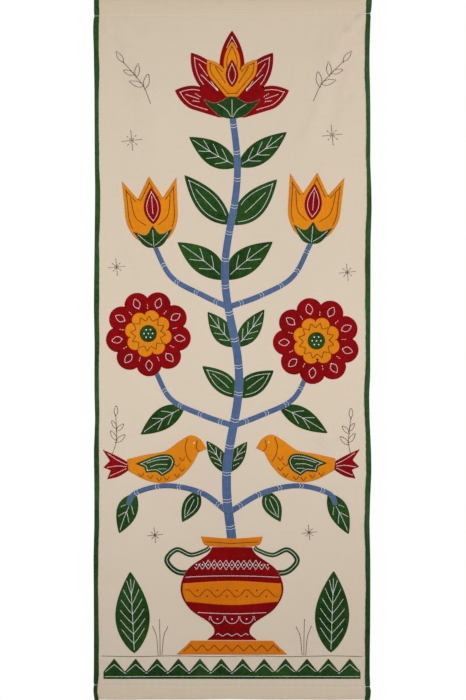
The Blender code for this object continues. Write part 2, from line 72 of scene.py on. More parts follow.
ROLLS = (
    # depth, width of one wave, start, turn on the way down
    (1.7, 310.0, 0.8, 3.1),
    (0.9, 190.0, 2.2, -5.2),
)
LEVEL_ROLL = (0.8, 430.0, 0.5)
ROLLS_AT_SLEEVES = 0.06
HELD_FROM, HELD_OVER = 150.0, 30.0
FOLDS_BEGIN, FOLDS_END = (24.0, 60.0), (10.0, 40.0)
RIDGE_UNEVEN, RIDGE_BOW = 0.25, 0.9
FOLD_NARROWING, CREASE_NARROWING = 0.6, 0.3

SLEEVE_FLATTER = {True: 0.4, False: 0.15}
CRUMPLE = 0.35
BOTTOM_BOW, BOTTOM_BOW_WIDTH = 0.9, 60.0
BOTTOM_WAVE, BOTTOM_WAVE_PITCH = 0.15, 105.0

EDGE = (
    # below top, how far out the left and right edges lie, how much wider the left and right bindings
    (0, -0.4, 2.6, 0.0, 1.0),
    (12, -0.4, 2.1, 0.4, 0.8),
    (22, -0.6, 1.2, 0.9, 0.6),
    (32, 0.2, 0.3, 1.2, -0.1),
    (50, 0.9, -0.3, 1.1, 0.1),
    (80, -0.2, -1.2, 0.2, -0.3),
    (105, -0.5, -1.3, 0.9, 0.2),
    (135, -1.1, -0.5, -0.2, 0.0),
    (170, -1.3, 0.0, -1.0, -1.1),
    (215, -1.5, 0.0, -0.6, -0.8),
    (250, -1.7, -0.2, -0.6, -1.1),
    (290, -2.2, 1.5, 0.3, -0.8),
    (320, -2.0, 2.0, 0.8, 0.1),
    (370, -1.4, 0.4, -0.4, 0.8),
    (430, -0.7, 0.2, 0.7, 0.7),
    (470, -0.4, 0.1, 0.5, 0.4),
    (530, -1.6, -0.2, -0.1, -0.5),
    (570, -1.2, -0.2, -0.7, 0.1),
    (605, -1.4, -1.8, -0.2, 0.9),
    (640, -2.3, -1.1, -1.0, -0.3),
    (690, -0.4, 1.2, 0.2, 0.4),
    (720, -0.8, 1.6, 0.6, 0.7),
    (760, -1.1, -0.2, 0.0, 0.5),
    (800, -1.0, -1.2, 0.0, 0.5),
    (850, 0.2, 0.0, 0.0, 0.2),
    (900, -0.2, 0.1, -0.6, -0.2),
    (950, -0.4, -0.1, 0.0, 0.5),
    (1000, -0.4, -0.8, 0.3, 0.0),
    (1030, -0.1, -0.9, 0.5, -0.1),
    (1044, 0.3, 0.0, -1.3, 0.1),
    (1056, 0.5, 1.3, -1.0, 1.2),
    (1066, -1.5, -1.0, -0.4, 1.0),
)
SLEEVE_PATH = (
    # back from the face, in from the fold's crest
    (0.0, 22.5), (-1.4, 17.5), (-2.1, 10.0), (-1.8, 4.6), (-1.2, 1.9), (0.2, 0.35), (3.4, 0.0),
    (7.0, 1.3), (10.2, 6.2), (10.6, 11.6), (8.4, 16.8), (3.0, 20.8), (1.75, 22.5), (1.8, 25.0),
)
HEM_POINTS = 3
BINDING_SECTION = (
    # in from the edge, out of the cloth's face
    (7.3, 0.6), (6.6, 1.1), (5.5, 1.5), (4.2, 1.55), (3.0, 1.15), (2.1, 1.15), (1.2, 1.2),
    (0.5, 0.85), (0.1, 0.25), (0.0, -0.4), (0.1, -1.0), (0.6, -1.6), (1.8, -1.9), (3.4, -2.0),
    (5.2, -1.95), (6.8, -1.65), (7.4, -1.35),
)
FOLDS = (
    # from x, from below top, to x, to below top, height, width
    (172, 30, 112, 225, -2.2, 14.0),
    (178, 40, 150, 190, 1.5, 11.0),
    (-172, 35, -116, 235, -1.7, 15.0),
    (-178, 60, -152, 200, 1.1, 11.0),
)
CREASES = (
    # from x, from below top, to x, to below top, height, width
    (197, 27, 175, 51, -1.4, 4.2),
    (175, 51, 157, 84, -1.1, 4.6),
    (157, 112, 104, 213, -0.5, 6.0),
    (177, 106, 166, 150, -0.7, 4.5),
    (184, 152, 152, 205, -0.6, 5.0),
    (140, 53, 128, 76, -0.5, 4.0),
    (125, 42, 106, 64, -0.45, 4.0),
    (122, 116, 115, 151, -0.4, 5.0),
    (94, 107, 88, 141, -0.4, 4.5),
    (40, 70, 30, 128, -0.35, 5.0),
    (-195, 36, -184, 60, -0.9, 3.4),
    (-184, 60, -164, 82, -0.9, 4.0),
    (-158, 34, -127, 58, -0.6, 6.0),
    (-143, 110, -118, 141, -0.6, 6.0),
    (-168, 364, -140, 436, -0.5, 6.0),
    (-178, 532, -140, 602, -0.5, 6.0),
    (-15, 1, -15, 15, -0.7, 3.0),
    (3, 820, 5, 1044, -0.7, 3.4),
    (86, 518, 112, 520, -0.8, 4.0),
    (164, 532, 191, 531, -0.8, 4.5),
    (191, 511, 202, 511, -0.6, 3.5),
    (163, 468, 161, 508, -0.4, 5.0),
    (128, 668, 172, 667, -0.8, 6.0),
    (141, 679, 160, 673, -0.4, 4.5),
    (148, 766, 190, 768, -0.5, 5.0),
    (108, 806, 115, 809, -0.7, 3.5),
    (-91, 775, -83, 779, -0.8, 3.5),
    (-202, 1000, -150, 1040, -0.7, 6.0),
    (198, 985, 162, 1042, -0.6, 6.0),
    (-196, 870, -150, 880, -0.4, 6.0),
)

# Layout of the sewn picture

LEAVES = (
    # name, base x, base below top, angle, length, width, bend
    ("leaf_top", 4, 256, 27, 88, 35, 9),
    ("leaf_fork", 0, 344, 38, 98, 39, 11),
    ("leaf_high", 2, 428, 46, 94, 38, -10),
    ("leaf_mid", 3, 530, 44, 68, 31, 8),
    ("leaf_low", 0, 607, 46, 70, 32, -8),
    ("leaf_arch", 72, 621, -24, 82, 31, -8),
    ("leaf_small", 0, 722, 62, 56, 25, -6),
    ("leaf_hang", 52, 748, -70, 54, 26, 6),
    ("leaf_end", 146, 753, -58, 66, 31, -9),
)
BRANCHES = (
    # name, then x and below top of each point along it
    ("branch_high", ((0, 470), (44, 452), (92, 424), (120, 372))),
    ("branch_mid", ((0, 650), (44, 634), (92, 610), (116, 568))),
    ("branch_low", ((0, 782), (46, 752), (100, 741), (146, 752), (158, 770))),
)
BRANCH_WIDTH = (8.5, 7.0)
ON_STEM = 10
STEM_TOP, STEM_FOOT = 170.0, 826.0
STEM_SWAY, STEM_WAVES = 11.0, 2
STEM_WIDTH = (9.5, 14.0)

LOTUS_BASE = (0, 172)
LOTUS_FANS = (
    # name, colour, layer, up from the base, tip radii, spread, valley radius, foot half width
    ("petals", "red", 1, 0, (92, 108, 122, 108, 92), 176, 60, 20),
    ("heart", "orange", 2, 26, (64, 80, 64), 108, 40, 9),
)
LOTUS_DROP = (36, 42, 19)
ROUND_FLOWERS = (
    # side, x, below top, radius, turn
    ("left", -127, 510, 65.0, 0.2),
    ("right", 128, 521, 66.0, 0.05),
)
ROUND_FLOWER_DISCS = (
    # name, colour, outer share of the radius, valley share, lobes
    ("petals", "red", 1.0, 0.83, 9),
    ("ring", "orange", 0.55, 0.45, 8),
    ("eye", "green", 0.2, 0.2, 4),
)
TULIPS = (("left", -119, 372, 4), ("right", 121, 366, -5))
BIRDS = (("left", -106, 738, -1), ("right", 104, 737, 1))
BIRD_SCALE = 1.13
TULIP_SCALE = 1.12
TULIP_INNER = (28, 56, 26)
CYPRESSES = (("left", -148, 995, 93), ("right", 150, 994, 88))
CYPRESS_SIZE = (124, 52)
SIDES = (("left", -1), ("right", 1))

TULIP = (
    # x, up, corner
    (0, 0, 0), (21, 5, 0), (34, 27, 0), (36, 56, 0), (37, 86, 1), (17, 60, 1), (0, 90, 1),
    (-17, 60, 1), (-37, 86, 1), (-36, 56, 0), (-34, 27, 0), (-21, 5, 0),
)
TULIP_CALYX = (
    (0, -7, 0), (13, -3, 0), (27, 17, 1), (10, 11, 0), (0, 23, 1), (-10, 11, 0), (-27, 17, 1),
    (-13, -3, 0),
)
LOTUS_CALYX = (
    (0, -12, 0), (17, -8, 0), (30, 2, 0), (44, 18, 1), (24, 12, 0), (0, 24, 1), (-24, 12, 0),
    (-44, 18, 1), (-30, 2, 0), (-17, -8, 0),
)
BIRD_BODY = (
    (-60, 47, 1), (-51, 60, 0), (-38, 65, 0), (-23, 57, 0), (-4, 44, 0), (22, 39, 0), (47, 33, 1),
    (45, 17, 1), (22, 5, 0), (0, 1, 0), (-22, 7, 0), (-39, 24, 0), (-49, 42, 1),
)
BIRD_WING = (
    (-17, 30, 0), (-10, 39, 0), (8, 38, 0), (36, 27, 1), (24, 22, 1), (22, 15, 1), (8, 16, 1),
    (0, 10, 1), (-12, 18, 0),
)
BIRD_TAIL = (
    (43, 27, 0), (62, 38, 0), (80, 46, 1), (70, 31, 1), (79, 22, 1), (69, 18, 1), (74, 6, 1),
    (58, 10, 0), (42, 21, 0),
)
CALYX_LINES = (
    ((0, -4), (0, 16)), ((3, -3), (11, 3), (20, 12)), ((-3, -3), (-11, 3), (-20, 12)),
)
BIRD_BEAK = ((-50, 43), (-46, 48), (-47, 57))
BIRD_COLLAR = ((-34, 60), (-31, 50), (-33, 38), (-38, 30))
BIRD_EYE = (-43, 55)
BREAST_FEATHERS = ((-27, 32), (-27, 18), (-20, 24), (-20, 10), (-6, 6), (4, 5), (16, 8), (28, 11))
WING_FEATHERS = (
    ((-8, 33), (6, 32), (20, 28)), ((-6, 26), (6, 26), (15, 23)), ((-4, 20), (4, 20)),
)
TAIL_FEATHERS = (
    ((48, 26), (60, 32), (72, 40)), ((49, 23), (60, 24), (73, 22)), ((49, 20), (60, 15), (69, 11)),
)
VASE_HALF = (
    # half width, below top, corner
    (38, 975, 1), (27, 964, 0), (33, 950, 0), (64, 928, 0), (78, 900, 0), (68, 869, 0),
    (38, 846, 0), (30, 834, 1),
)
VASE_BAND = (
    # x, below top, corner
    (-74.5, 889, 1), (0, 885, 0), (74.5, 889, 1), (75, 903, 0), (70, 917, 1), (0, 922, 0),
    (-70, 917, 1), (-75, 903, 0),
)
VASE_LIP = (
    (-47, 818, 1), (0, 821, 0), (47, 818, 1), (42, 830, 0), (31, 833, 1), (0, 834, 0),
    (-31, 833, 1), (-42, 830, 0),
)
VASE_STAND = (
    (-62, 976, 1), (62, 976, 1), (70, 984, 0), (84, 997, 1), (-84, 997, 1), (-70, 984, 0),
)
VASE_HANDLE = ((52, 872), (82, 872), (99, 854), (84, 838), (62, 846), (40, 839), (34, 834))
VASE_HANDLE_WIDTH = (9.0, 6.0)
BORDER_HALF, BORDER_TEETH = 195.0, 12
BORDER_FOOT, BORDER_BAND, BORDER_TIP = 1034.0, 1023.0, 1003.0

SPRIGS = (
    # x, below top, way of the lean, turn, size
    (124, 158, 1, 58, 74),
    (181, 694, -1, 96, 58),
)
SPRIG_LEAVES = (
    # place along the stalk, turn, length
    (0.3, 42, 0.32), (0.36, -40, 0.3), (0.6, 38, 0.27), (0.66, -38, 0.25), (1.0, -4, 0.26),
)
STARS = (
    # x, below top, way of the lean, radius
    (152, 213, 2, 14),
    (175, 413, -2, 11.5),
    (117, 814, 1, 10),
)
GRASS = ((106, 996, 98), (109, 997, 110), (112, 997, 120))
LEANS = (2.0, -2.0)

# Sewn pieces

PIECE_RISE = 0.7
EDGE_ROUND = 0.7
TURNING = (4.0, 6.5, 0.15)
CUT_GAP = 0.25
OUTLINE_STEP = 1.5
INNER_STEP = 4.0
INNER_ROW = 0.87 * INNER_STEP
RINGS = (0.28, 0.95)
GRID_FROM_RING = 1.1
SLIVER = 1e-7
PUCKER, PUCKER_REACH = 0.13, 6.0
LIE_CLEAR = 0.04
LEAST_STRIP = 10.0

# Surface of the cloth, in millimetres


def smooth_step(value, start, end):
    t = np.clip((value - start) / (end - start), 0.0, 1.0)
    return t * t * (3 - 2 * t)


def soften(values, width):
    """Evenly spaced values, blurred over a width counted in samples."""
    reach = int(3 * width)
    bell = np.exp(-((np.arange(-reach, reach + 1) / width) ** 2))
    padded = np.concatenate([np.full(reach, values[0]), values, np.full(reach, values[-1])])
    return np.convolve(padded, bell / bell.sum(), "valid")


EDGE_DROPS = np.arange(0, int(HEIGHT) + 1)


def edge_column(column):
    """One column of the edge table, for each millimetre below the top."""
    table = np.array(EDGE)
    return soften(np.interp(EDGE_DROPS, table[:, 0], table[:, column]), 6)


EDGE_OUT = {-1: edge_column(1), 1: edge_column(2)}
BINDING_WIDER = {-1: edge_column(3), 1: edge_column(4)}


def seam_drop(x, top):
    """How far below the top a sleeve's seam runs: it was sewn a little out of level."""
    middle, lower, _ = SEAMS[top]
    return middle + lower * x / HALF_WIDTH


def edge_out(z, side):
    """How far a side edge lies outside the straight width, pinched where the seams cross it."""
    out = np.interp(-z, EDGE_DROPS, EDGE_OUT[side])
    for top in SEAMS:
        away = -z - seam_drop(side * HALF_WIDTH, top)
        out = out - PINCH * np.exp(-((away / PINCH_REACH) ** 2))
    return out


def rolls(x, z):
    """The soft rolls in which the cloth hangs, stilled near the two sleeves."""
    below = np.clip(-z / HEIGHT, 0.0, 1.0)
    still = ROLLS_AT_SLEEVES + (1 - ROLLS_AT_SLEEVES) * np.sin(np.pi * below) ** 0.7
    depth, width, start = LEVEL_ROLL
    total = depth * np.sin(2 * np.pi * z / width + start)
    for depth, width, start, turn in ROLLS:
        total = total + depth * np.sin(2 * np.pi * x / width + start + turn * below)
    return total * still


def ridges(x, z, table, narrowing):
    """Soft ridges along lines, each a little uneven in height and width on its way."""
    total = np.zeros(np.broadcast(x, z).shape)
    for k, (x0, drop0, x1, drop1, height, width) in enumerate(table):
        run = np.array((x1 - x0, drop0 - drop1), float)
        dx, dz = x - x0, z + drop0
        along = np.clip((dx * run[0] + dz * run[1]) / (run @ run), 0.0, 1.0)
        aside = (dx * run[1] - dz * run[0]) / np.linalg.norm(run)
        past_end = np.hypot(dx - along * run[0], dz - along * run[1]) ** 2 - aside**2
        bow = RIDGE_BOW * width * np.sin(np.pi * along) * math.sin(2.1 * k)
        uneven = 1 + RIDGE_UNEVEN * np.sin(7 * along + 1.7 * k)
        away = ((aside - bow) ** 2 + np.maximum(past_end, 0.0)) / (width * uneven) ** 2
        total = total + height * uneven * np.exp(-away) * (1 - narrowing * along)
    return total


def cloth_y(x, z):
    """How far back the cloth's face lies at x and z."""
    far = np.abs(x)
    easing = HELD_FROM + HELD_OVER * (1 - np.exp(-(far - HELD_FROM) / HELD_OVER))
    held_x = np.sign(x) * np.where(far > HELD_FROM, easing, far)
    free = smooth_step(-z, *FOLDS_BEGIN) * smooth_step(HEIGHT + z, *FOLDS_END)
    y = FACE_Y + rolls(held_x, z) + ridges(x, z, FOLDS, FOLD_NARROWING) * free
    y = y + ridges(x, z, CREASES, CREASE_NARROWING)
    for top, (_, _, height) in SEAMS.items():
        away = -z - seam_drop(x, top)
        ripple = np.sin(2 * np.pi * x / RIPPLE_PITCH + 1.3 * np.sin(x / 31))
        y = y + height * ripple * np.exp(-np.abs(away) / RIPPLE_REACH)
        y = y + GROOVE * np.exp(-((away / GROOVE_REACH) ** 2))
    beside = np.exp(-(((far - EDGE_PUCKER_AT) / EDGE_PUCKER_REACH) ** 2))
    beside = beside * np.where(x > 0, EDGE_PUCKER_RIGHT, EDGE_PUCKER_LEFT)
    pucker = np.sin(2 * np.pi * z / EDGE_PUCKER_PITCH + 1.5 * np.sin(z / 37))
    return y + beside * pucker * (0.7 + 0.3 * np.sin(z / 23))


def curved(start, end, leave, arrive, steps):
    """The points of one curved stretch, all but its end."""
    t = np.arange(steps)[:, None] / steps
    blend = t * t * (3 - 2 * t)
    early, late = t * (1 - t) ** 2, t * t * (t - 1)
    return start + (end - start) * blend + leave * early + arrive * late


def smooth_line(keys, steps=4):
    """An open line through keys, curved between them."""
    keys = np.array(keys, float)
    padded = np.vstack([2 * keys[0] - keys[1], keys, 2 * keys[-1] - keys[-2]])
    through = (padded[2:] - padded[:-2]) / 2
    parts = [curved(*keys[k:k + 2], *through[k:k + 2], steps) for k in range(len(keys) - 1)]
    return np.vstack([*parts, keys[-1]])


def run_along(line):
    """How far along the line each of its points lies."""
    return np.concatenate([[0], np.cumsum(np.linalg.norm(np.diff(line, axis=0), axis=1))])


def length_of(line):
    """The whole length of the line."""
    return float(run_along(line)[-1])


SLEEVE_LINE = smooth_line(SLEEVE_PATH, 3)


def sleeve_points(x, top):
    """A sleeve's outer face at this x as (y, z), seam first."""
    drop = seam_drop(x, top)
    depth = drop if top else HEIGHT - drop
    back, from_crest = SLEEVE_LINE.T
    from_crest = from_crest * depth / SLEEVE
    share = np.clip(1 - from_crest / depth, 0, 1)
    if top:
        crumple, z = 0.0, -from_crest
    else:
        crumple = CRUMPLE * np.sin(x / 7.0 + 2 * np.sin(x / 23)) * share
        waves = 1 + math.sin(2 * np.pi * x / BOTTOM_WAVE_PITCH + 2.0)
        lift = BOTTOM_BOW * math.exp(-((x / BOTTOM_BOW_WIDTH) ** 2)) + BOTTOM_WAVE * waves
        z = from_crest - HEIGHT + lift * share
    count = np.arange(len(back))
    hem = smooth_step(count, len(back) - 3 * HEM_POINTS, len(back) - 3)
    bulk = BINDING_BULK * smooth_step(abs(x), BULKY_FROM, BULKY_TO) * hem
    back = np.where(back < 0, back * SLEEVE_FLATTER[top], back)
    seam_y = cloth_y(x, -drop)
    face = cloth_y(x, np.where(from_crest > 0.5, z, z[0])) - seam_y
    face = face * smooth_step(from_crest, 0.3, 8.0) * (count < from_crest.argmin())
    return np.column_stack([seam_y + back + bulk + crumple + face, z])


def face_rows():
    """Heights of the rows down the face, closer together near the two seams."""
    steps, drop = [], 0.0
    length = seam_drop(0, False) - seam_drop(0, True)
    while drop < length:
        steps.append(drop / length)
        drop += FINE_ROW if min(drop, length - drop) < FINE_BESIDE_SEAM else ROW
    return np.array(steps[1:])


FACE_ROWS = face_rows()


def section(x):
    """The cloth's outer face at this x, from the top hem's end down to the bottom hem's end."""
    start, end = -seam_drop(x, True), -seam_drop(x, False)
    z = start + (end - start) * FACE_ROWS
    face = np.column_stack([cloth_y(np.full(len(z), float(x)), z), z])
    return np.vstack([sleeve_points(x, True)[::-1], face, sleeve_points(x, False)])


def offset_out(points, distance):
    """A line of (y, z) points moved out of the cloth's face."""
    run = np.gradient(points, axis=0)
    run /= np.linalg.norm(run, axis=1)[:, None]
    outward = np.column_stack([run[:, 1], -run[:, 0]])
    return points + outward * np.asarray(distance).reshape(-1, 1)


# Outlines


def smooth_loop(keys, steps=12):
    """A closed outline through keys of x, y and corner, curved but sharp at the corners."""
    keys = np.array(keys, float)
    points, corner = keys[:, :2], keys[:, 2] > 0
    through = (np.roll(points, -1, axis=0) - np.roll(points, 1, axis=0)) / 2
    parts = []
    for k in range(len(points)):
        n = (k + 1) % len(points)
        straight = points[n] - points[k]
        leave, arrive = (straight if corner[end] else through[end] for end in (k, n))
        parts.append(curved(points[k], points[n], leave, arrive, steps))
    return np.vstack(parts)


def ribbon(line, first_width, last_width):
    """The outline of a strip along a line."""
    run = np.gradient(line, axis=0)
    aside = np.column_stack([-run[:, 1], run[:, 0]]) / np.linalg.norm(run, axis=1)[:, None]
    half = np.linspace(first_width, last_width, len(line))[:, None] / 2
    return np.vstack([line - aside * half, (line + aside * half)[::-1]])


def polar(radius, angle):
    """Points at these distances and angles from the middle."""
    return np.column_stack([radius * np.cos(angle), radius * np.sin(angle)])


def leaf_half(width, t):
    """Half a leaf's width at each share t of its length."""
    return width / 2 * np.sin(np.pi * np.clip(t, 0, 1) ** 0.85) ** 0.9


def leaf_middle(length, bend, t):
    """The middle line of a leaf."""
    return np.column_stack([length * t, bend * t**2])


def leaf(length, width, bend, steps=34):
    """A leaf from its base at the origin to its tip along X, curved aside by bend."""
    t = np.linspace(0, 1, steps)
    half = leaf_half(width, t)
    half[[0, -1]] = 0.0
    middle, aside = leaf_middle(length, bend, t), np.column_stack([0 * t, half])
    return np.vstack([middle - aside, (middle + aside)[-2:0:-1]])


def scalloped_disc(radius, valley, lobes, turn=0.0, steps=18):
    """A round flower's outline, with its lobes all round."""
    u = np.arange(lobes * steps) / steps
    reach = valley + (radius - valley) * np.abs(np.sin(np.pi * u)) ** 0.7
    return polar(reach, 2 * np.pi * u / lobes + turn)


def petal_fan(tips, spread, valley, foot, steps=26):
    """A flower seen from the side, a pointed petal for each tip radius, over a spread in degrees."""
    points = [(foot, -foot / 2)]
    first = 90 - spread / 2
    for k, tip in enumerate(tips):
        for step in range(steps + (k == len(tips) - 1)):
            u = step / steps
            reach = valley + (tip - valley) * (1 - abs(2 * u - 1)) ** 0.8
            angle = math.radians(first + spread * (k + u) / len(tips))
            points.append((reach * math.cos(angle), reach * math.sin(angle)))
    points.append((-foot, -foot / 2))
    return np.array(points)


def placed(outline, x, drop, angle=0.0, flip=1, size=1.0):
    """A local outline sized, turned, mirrored if flip is -1, and moved to its place below the top."""
    cos, sin = math.cos(math.radians(angle)), math.sin(math.radians(angle))
    turned = (np.array(outline, float) * size) @ np.array([[cos, sin], [-sin, cos]])
    return turned * (flip, 1) + (x, -drop)


def spaced(line, step, closed=False):
    """The same line with points at most a step apart, its own points kept."""
    ends = np.roll(line, -1, axis=0) if closed else line[1:]
    points = []
    for start, end in zip(line, ends):
        count = max(1, math.ceil(np.linalg.norm(end - start) / step))
        points += [start + (end - start) * k / count for k in range(count)]
    if not closed:
        points.append(line[-1])
    return np.array(points)


def even(line, step):
    """A closed line with its points an even step apart, corners rounded a very little."""
    fine = spaced(line, 0.4, True)
    for _ in range(2):
        fine = fine / 2 + np.roll(fine, 1, axis=0) / 4 + np.roll(fine, -1, axis=0) / 4
    ring = np.vstack([fine, fine[:1]])
    run = run_along(ring)
    at = np.linspace(0, run[-1], max(12, int(run[-1] / step)), endpoint=False)
    return np.column_stack([np.interp(at, run, ring[:, 0]), np.interp(at, run, ring[:, 1])])


def turn_way(outline):
    """One if the outline runs anticlockwise, less one if it runs clockwise."""
    following = np.roll(outline, -1, axis=0)
    return np.sign(np.sum(outline[:, 0] * following[:, 1] - outline[:, 1] * following[:, 0]))


def inward(outline):
    """The unit vector into the outline at each of its points."""
    run = np.roll(outline, -1, axis=0) - np.roll(outline, 1, axis=0)
    run /= np.maximum(np.linalg.norm(run, axis=1), 1e-9)[:, None]
    return np.column_stack([-run[:, 1], run[:, 0]]) * turn_way(outline)


def grown(outline, distance):
    """The outline moved outwards all round."""
    return outline - inward(outline) * distance


def inside(points, outline):
    """Which of the points lie within the outline."""
    x, z = points[:, 0], points[:, 1]
    found = np.zeros(len(points), bool)
    for (ax, az), (bx, bz) in zip(outline, np.roll(outline, -1, axis=0)):
        if az == bz:
            continue
        found ^= ((az > z) != (bz > z)) & (x < (bx - ax) * (z - az) / (bz - az) + ax)
    return found


def edge_distance(points, outline):
    """Each point's distance to the outline."""
    best = np.full(len(points), 1e9)
    for start, end in zip(outline, np.roll(outline, -1, axis=0)):
        run = end - start
        away = points - start
        t = np.clip(away @ run / max(run @ run, 1e-12), 0.0, 1.0)
        off = away - t[:, None] * run
        best = np.minimum(best, (off * off).sum(axis=1))
    return np.sqrt(best)


# Making meshes


def link_new(name, data):
    """A new object for this data, put into the scene."""
    made = bpy.data.objects.new(name, data)
    bpy.context.scene.collection.objects.link(made)
    return made


def mesh_piece(name, points, edges=(), faces=()):
    """A piece from points in millimetres."""
    mesh = bpy.data.meshes.new(name)
    mesh.from_pydata([tuple(p) for p in np.asarray(points) * MM], list(edges), list(faces))
    return link_new(name, mesh)


def cloth_piece(name, points, faces, material):
    """A smooth piece of one cloth."""
    piece = mesh_piece(name, points, faces=faces)
    piece.data.polygons.foreach_set("use_smooth", [True] * len(faces))
    piece.data.update()
    piece.data.materials.append(material)
    return piece


def keep_value(piece, name, values):
    """Keeps one number for each point of a piece, for its material to read."""
    held = piece.data.attributes.new(name, "FLOAT", "POINT")
    held.data.foreach_set("value", np.asarray(values, np.float32))


def made_plain(piece):
    """The piece's mesh with its modifiers made real, and the modifiers taken off."""
    graph = bpy.context.evaluated_depsgraph_get()
    mesh = bpy.data.meshes.new_from_object(piece.evaluated_get(graph))
    piece.modifiers.clear()
    old = piece.data
    piece.data = mesh
    mesh.name = piece.name
    if isinstance(old, bpy.types.Mesh):
        bpy.data.meshes.remove(old)
    return piece


def thicken(piece, thickness):
    """Gives a sheet its thickness behind its face."""
    wall = piece.modifiers.new("thickness", "SOLIDIFY")
    wall.thickness = thickness
    wall.offset = -1.0
    return wall


def grid_cloth(name, columns, thickness, material, tones):
    """A cloth from columns of points, with its tones for the material to read."""
    length = len(columns[0])
    faces = []
    for i in range(len(columns) - 1):
        for a in range(i * length, (i + 1) * length - 1):
            faces.append((a, a + 1, a + length + 1, a + length))
    piece = cloth_piece(name, np.array(columns).reshape(-1, 3), faces, material)
    for kind, values in tones.items():
        keep_value(piece, kind, values)
    thicken(piece, thickness * MM).use_quality_normals = True
    return made_plain(piece)


class Piece:
    """A cut piece of cloth on the panel: its outline, its height over the cloth, its neighbours."""

    def __init__(self, name, outline, colour, layer=1, meets=(), over=(), strip=None):
        self.name = name
        self.outline = even(outline, OUTLINE_STEP)
        self.colour = colour
        self.layer = layer
        self.cuts = [even(grown(sewn[other].outline, CUT_GAP), OUTLINE_STEP) for other in meets]
        self.over = over
        self.strip = strip
        self.low = self.outline.min(axis=0)
        self.high = self.outline.max(axis=0)

    def near(self, points, margin=0.0):
        """Which of the points lie in the piece's box."""
        return ((points > self.low - margin) & (points < self.high + margin)).all(axis=1)

    def depth(self, points):
        """How far inside the piece's edge each point lies, less than nothing outside it."""
        depth = np.where(inside(points, self.outline), 1, -1) * edge_distance(points, self.outline)
        for cut in self.cuts:
            out = np.where(inside(points, cut), -1, 1) * edge_distance(points, cut)
            depth = np.minimum(depth, out)
        return depth

    def base(self, points):
        """How far in front of the cloth's face the piece's back lies."""
        base = np.full(len(points), LIE_CLEAR)
        for other in self.over:
            base = np.maximum(base, sewn[other].top(points) + LIE_CLEAR)
        return base

    def rise(self, depth):
        """The piece's own thickness: a rounded edge, a turned-in margin, and the thinner middle."""
        inner = np.clip(depth / EDGE_ROUND, 0, 1)
        start, end, step = TURNING
        return PIECE_RISE * np.sqrt(1 - (1 - inner) ** 2) - step * smooth_step(depth, start, end)

    def top(self, points):
        """How far in front of the cloth's face the piece's face lies, and nothing outside it."""
        top = np.zeros(len(points))
        near = self.near(points)
        if near.any():
            depth = self.depth(points[near])
            height = self.base(points[near]) + self.rise(np.maximum(depth, 0))
            top[near] = np.where(depth > 0, height, 0.0)
        return top

    def inner_points(self):
        """Points within the edge: rings beside the outline and the cuts, then a grid."""
        found = []
        for away in RINGS:
            step = OUTLINE_STEP * (1 + 0.5 * away)
            rings = [even(self.outline + inward(self.outline) * away, step)]
            rings += [grown(cut, away) for cut in self.cuts]
            found += [(ring, 0.9 * away) for ring in rings]
        across = np.arange(self.low[0], self.high[0], INNER_STEP)
        up = np.arange(self.low[1], self.high[1], INNER_ROW)
        grid = [(x + (k % 2) * INNER_STEP / 2, z) for k, z in enumerate(up) for x in across]
        found.append((np.array(grid).reshape(-1, 2), RINGS[-1] + GRID_FROM_RING))
        return np.vstack([points[self.depth(points) > least] for points, least in found])

    def triangles(self):
        """The piece's flat mesh, as points and triangles. Keeps its area too."""
        loops = [self.outline, *self.cuts]
        edges, start = [], 0
        for loop in loops:
            edges += [(start + k, start + (k + 1) % len(loop)) for k in range(len(loop))]
            start += len(loop)
        every = [Vector(p) for p in np.vstack([*loops, self.inner_points()])]
        verts, _, faces, *_ = delaunay_2d_cdt(every, edges, [], 0, 1e-4)
        verts = np.array([tuple(v) for v in verts])
        faces = np.array([f for f in faces if len(f) == 3])
        faces = self.largest(faces[self.depth(verts[faces].mean(axis=1)) > 0])
        a, b, c = (verts[faces[:, k]] for k in range(3))
        (ux, uz), (vx, vz) = (b - a).T, (c - a).T
        doubled = ux * vz - uz * vx
        faces = np.where((doubled < 0)[:, None], faces[:, ::-1], faces)[np.abs(doubled) > SLIVER]
        used, faces = np.unique(faces, return_inverse=True)
        self.area = float(np.abs(doubled).sum() / 2)
        return verts[used], faces.reshape(-1, 3)

    def make(self):
        """The closed mesh of the piece."""
        verts, faces = self.triangles()
        pairs = np.sort(np.concatenate([faces[:, [0, 1]], faces[:, [1, 2]], faces[:, [2, 0]]]), axis=1)
        sides, uses = np.unique(pairs, axis=0, return_counts=True)
        rim = np.zeros(len(verts), bool)
        rim[sides[uses == 1].ravel()] = True
        depth = np.where(rim, 0.0, np.maximum(self.depth(verts), 0.02))
        x, z = verts.T
        puckered = PUCKER * np.exp(-((depth / PUCKER_REACH) ** 2)) * smooth_step(depth, 0.0, 1.5)
        waves = np.sin(x / 2.1 + 2 * np.sin(z / 17)) + np.sin(z / 2.3 + 2 * np.sin(x / 19))
        back_y = cloth_y(x, z) + puckered * waves - self.base(verts)
        front = np.column_stack([x, back_y - self.rise(depth), z])
        back = np.column_stack([x, back_y, z])[~rim]
        twin = np.arange(len(verts))
        twin[~rim] = len(verts) + np.arange((~rim).sum())
        every_face = [tuple(f) for f in faces] + [tuple(f) for f in twin[faces[:, ::-1]]]
        piece = cloth_piece(self.name, np.vstack([front, back]), every_face, cotton[self.colour])
        keep_value(piece, "from_edge", np.concatenate([depth, depth[~rim]]))
        # Painted shade: the dyed pieces darker towards the bottom.
        keep_value(piece, "dusty", low_soil(-np.concatenate([z, z[~rim]])))
        return piece

    @staticmethod
    def largest(faces):
        """The triangles of the largest joined group."""
        group = np.arange(faces.max() + 1)
        while True:
            least = group[faces].min(axis=1)
            before = group.copy()
            for k in range(3):
                np.minimum.at(group, faces[:, k], least)
            group = group[group]
            if (group == before).all():
                break
        home = group[faces[:, 0]]
        names, counts = np.unique(home, return_counts=True)
        return faces[home == names[counts.argmax()]]

